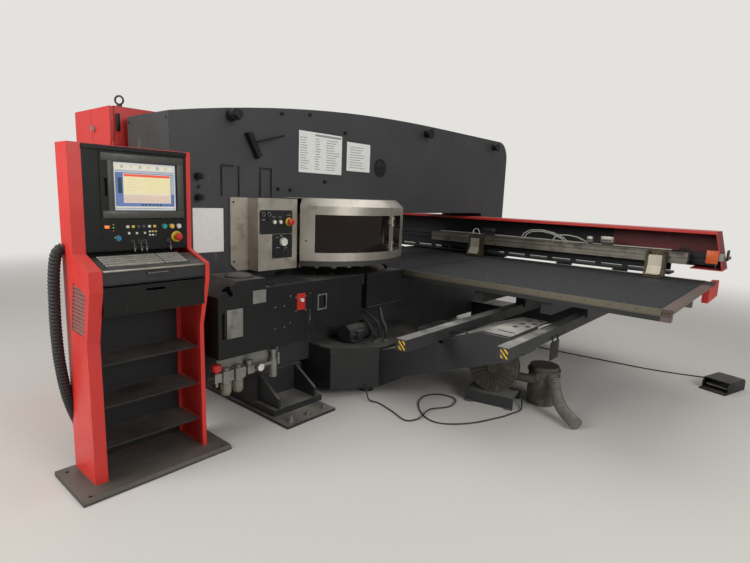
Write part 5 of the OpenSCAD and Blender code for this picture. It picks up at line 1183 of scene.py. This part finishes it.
# beam: the rack's teeth and cover screws
beam = {
    "face": 1880, "top": 1142, "left": -160, "right": 2326, "pitch": 12,
    "screws": range(-60, 2330, 200),
    "arches": [(860, 1330, 96), (890, 1300, 82), (1180, 1520, 66)],  # start, end, height of a hose
    "archShape": [(0.06, 1962, 0.55), (0.2, 1960, 0.92), (0.45, 1958, 1), (0.7, 1960, 0.8),
                  (0.92, 1962, 0.35)],  # share of the run, y, share of the height
    "archEnd": (1962, -2),
    "lines": [  # x, y and height above the beam; radius, skin
        ([(-120, 1975, 6), (400, 1975, 9), (1400, 1975, 6), (2200, 1975, 10)], 5, 0),
        ([(-120, 1988, 5), (800, 1988, 7), (2240, 1988, 6)], 4, 1)],
    "valves": [(437, 580, 30, 72, 2), (1511, 1561, 20, 71, 3), (1634, 1742, 27, 81, 3)],
    "coil": (2262, 1950, 35, 17, 81),  # x, y, height of the middle, radius, points
    "coilEnd": [(2262, 1967, 35), (2254, 1972, 18), (2240, 1988, 6)],
    "clampHose": [(352, 1885, 7), (356, 1888, 44), (376, 1890, 64), (404, 1890, 62), (424, 1888, 40),
                  (428, 1885, 7)],
}
bm = bmesh.new()
face, top = beam["face"], beam["top"]
for i in range(int((beam["right"] - beam["left"]) / beam["pitch"])):
    x = beam["left"] + i * beam["pitch"]
    addBlock(bm, (x, face - 3.5, 1128), (x + 6, face + 0.5, 1141.5))
for x in beam["screws"]:
    addCap(bm, (x, face, 1109), forward, 4.5, 2.5, 1)
    addCap(bm, (x + 90, face, 1066), forward, 4.5, 2.5, 1)
makePiece("beam_rack", bm, "groundToolSteel blackOxideSteel", "x_carriage")


def aboveBeam(points):
    return [(x, y, beam["top"] + z) for x, y, z in points]


# air hoses and valves behind the beam
bm = bmesh.new()
y, z = beam["archEnd"]
for start, stop, high in beam["arches"]:
    shape = [(start + (stop - start) * share, place, high * lift) for share, place, lift in beam["archShape"]]
    addTube(bm, aboveBeam([(start, y, z), *shape, (stop, y, z)]), 5.5)
for points, radius, skin in beam["lines"]:
    addTube(bm, aboveBeam(points), radius, skin)
for x0, x1, z0, z1, skin in beam["valves"]:
    addBlock(bm, (x0, 1935, top + z0), (x1, 1975, top + z1), skin, 2)
    addBlock(bm, (x0 + 12, 1945, top - 1), (x1 - 12, 1965, top + z0 + 1), 2, 0)
    for x in range(x0 + 14, x1 - 6, 22):
        addRod(bm, (x, 1935, top + z0 + 22), (x, 1926, top + z0 + 22), 6, 2)
x, y, z, radius, count = beam["coil"]
turns = [(a, onCircle(a * 22.5, radius)) for a in range(count)]
addTube(bm, aboveBeam([(x + 0.9 * a, y + across, z + up) for a, (across, up) in turns]), 3.5, 1, 6)
addTube(bm, aboveBeam(beam["coilEnd"]), 3.5, 1, 6)
addTube(bm, aboveBeam(beam["clampHose"]), 5)
makePiece("beam_air_lines", bm, "paleTube blackRubber blackAbs extrudedAluminium", "x_carriage")

# signal box at the right end of the cover, its short cable, and the plug outside the cover
signalBox = {
    "body": [((2462, 1846, 1077), (2542, 1873, 1179), 0, 3), ((2520, 1872, 1100), (2577, 1876, 1160), 1),
             ((2572, 1874, 1100), (2577.5, 1904, 1160), 1)],
    "screws": [(2472, 1846, 1087), (2532, 1846, 1169)],
    "gland": ((2530, 1860, 1078), (2530, 1860, 1060), 9, 2),
    "cable": [(2530, 1860, 1062), (2530, 1862, 1048), (2536, 1880, 1036), (2548, 1904, 1029)],
    "socket": ((2577, 2010, 1094), (2590, 2090, 1179), 2, 2),
    "plug": ((2590, 2050, 1120), (2606, 2050, 1120), 13, 1),
}
bm = bmesh.new()
for row in signalBox["body"]:
    addBlock(bm, *row)
for place in signalBox["screws"]:
    addCap(bm, place, forward, 3.5, 1.5, 1)
addRod(bm, *signalBox["gland"])
addTube(bm, signalBox["cable"], 5, 2)
addBlock(bm, *signalBox["socket"])
addRod(bm, *signalBox["plug"])
makePiece("carriage_signal_box", bm, "orangeAbs zincPlate blackAbs", "carriage")

# three clips that hold the canister's lid
canister = {"middle": (1685, 766, 0), "radius": 118, "angles": (30, 150, 270), "clip": (205, 258),
            "rivet": 232}
bm = bmesh.new()
low, high = canister["clip"]
for degrees in canister["angles"]:
    out = Vector((*onCircle(degrees), 0))
    place = Vector(canister["middle"]) + out * canister["radius"]
    rivet = place + Vector((0, 0, canister["rivet"]))
    addBlock(bm, (place.x - 5, place.y - 9, low), (place.x + 5, place.y + 9, high), 0, 1.5,
             Matrix.Rotation(math.radians(degrees), 4, "Z"))
    addRod(bm, rivet + out * 6, rivet + out * 9, 5)
makePiece("canister_clips", bm, "zincPlate", "machine")

# black hinge leaves on the cabinet's right side, one at each hinge height
hinges = {"heights": (180, 1000, 1846), "x": (-314.5, -308), "y": (-1448, -1424), "tall": 108,
          "screws": (20, 54, 88)}
bm = bmesh.new()
(x0, x1), (y0, y1) = hinges["x"], hinges["y"]
for low in hinges["heights"]:
    addBlock(bm, (x0, y0, low), (x1, y1, low + hinges["tall"]), 0, 1.5)
    for up in hinges["screws"]:
        addCap(bm, (x1, (y0 + y1) / 2, low + up), outward, 4, 1.5)
makePiece("cabinet_hinge_leaves", bm, "blackStoveEnamel", "machine")
print("detail pieces made")


def smoothRoute(points, steps):
    # the same rounding of the route as the solids have
    out = []
    for i in range(len(points) - 1):
        a, b, c, d = (Vector(points[max(0, min(len(points) - 1, i + k))]) for k in (-1, 0, 1, 2))
        for j in range(steps):
            t = j / steps
            out.append(0.5 * (2 * b + (c - a) * t + (2 * a - 5 * b + 4 * c - d) * t * t
                              + (3 * b - a - 3 * c + d) * t ** 3))
    return [p / 1000 for p in out + [Vector(points[-1])]]


def evenRoute(points, gap):
    # points at an even spacing along the route, for ribs
    out, left = [points[0]], gap
    for a, b in zip(points, points[1:]):
        length, at = (b - a).length, 0.0
        while length - at >= left:
            at += left
            out.append(a.lerp(b, at / length))
            left = gap
        left -= length - at
    if (out[-1] - points[-1]).length > gap * 0.3:
        out.append(points[-1])
    else:
        out[-1] = points[-1]
    return out


def routeLength(points):
    return sum((b - a).length for a, b in zip(points, points[1:]))


def makeCord(name, points, radius, node, sides=4, ribs=1.0):
    # a curve with a round section; ribs is the share that every second point keeps of the radius
    data = bpy.data.curves.new(name, "CURVE")
    data.dimensions = "3D"
    data.bevel_depth = radius
    data.bevel_resolution = sides
    data.use_fill_caps = True
    data.twist_mode = "MINIMUM"
    line = data.splines.new("POLY")
    line.points.add(len(points) - 1)
    for i, point in enumerate(points):
        line.points[i].co = (*point, 1)
        line.points[i].radius = ribs if i % 2 else 1.0
    line.use_smooth = ribs == 1.0
    data.materials.append(finishes["blackRubber"])
    piece = bpy.data.objects.new(name, data)
    bpy.context.scene.collection.objects.link(piece)
    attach(piece, "machine")
    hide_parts(node)
    return piece


# routes of the cords and hoses in millimetres, and the spacing of the ribs in metres
cordRoutes = {
    "conduit": [(306, -1983, 1195), (303, -2014, 1165), (300, -2030, 1060), (300, -2036, 900),
                (298, -2036, 760), (290, -2026, 600), (282, -2000, 420), (262, -1950, 260), (220, -1880, 120),
                (120, -1760, 50), (0, -1620, 36), (-150, -1480, 36), (-240, -1370, 60), (-290, -1310, 112),
                (-328, -1300, 120)],
    "hose": [(1772, 695, 232), (1794, 676, 222), (1824, 644, 190), (1868, 594, 134), (1928, 547, 86),
             (1993, 512, 58), (2050, 470, 46)],
    "blowerCord": [(1433, 600, 110), (1500, 622, 99), (1575, 642, 90), (1604, 600, 30), (1642, 500, 7),
                   (1620, 380, 6), (1594, 279, 6), (1494, 41, 6), (1349, -106, 6), (1208, -94, 6),
                   (1056, 43, 6), (998, 199, 6), (1062, 322, 6), (1197, 323, 6), (1242, 184, 6),
                   (1180, 33, 12), (1195, -70, 17), (1207, -163, 10), (1153, -240, 6), (999, -191, 6),
                   (840, -150, 6), (760, -168, 14),
                   (700, -134, 60), (661, -107, 92)],
    "pedalCord": [(2715, 2347, 30), (2722, 2385, 16), (2690, 2425, 7), (2600, 2430, 6), (2478, 2395, 6),
                  (2330, 2343, 6), (2177, 2295, 6), (2015, 2262, 6), (1843, 2245, 6), (1664, 2227, 6),
                  (1477, 2208, 6), (1282, 2188, 6), (1000, 2180, 6), (800, 2190, 20), (745, 2200, 80),
                  (719, 2205, 130)],
}
ribGap = 0.009

conduitLine = evenRoute(smoothRoute(cordRoutes["conduit"], 4), ribGap)
makeCord("corrugated_conduit", conduitLine, 0.028, "console_conduit", 5, 0.86)
hoseLine = evenRoute(smoothRoute(cordRoutes["hose"], 6), ribGap)
bm = bmesh.new()
addTube(bm, [p * 1000 for p in hoseLine], 44, 0, 28, 0.89)
hose = makePiece("corrugated_hose", bm, "greyHosePvc", "machine", 15)
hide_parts("blower_hose")
cordLine = smoothRoute(cordRoutes["blowerCord"], 5)
blowerCord = makeCord("blower_mains_cord", cordLine, 0.005, "blower_cord")
pedalLine = smoothRoute(cordRoutes["pedalCord"], 4)
pedalCord = makeCord("pedal_signal_cord", pedalLine, 0.005, "pedal_cord")
print("cords laid:", [round(routeLength(r), 2) for r in (cordLine, pedalLine)])

low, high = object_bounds()
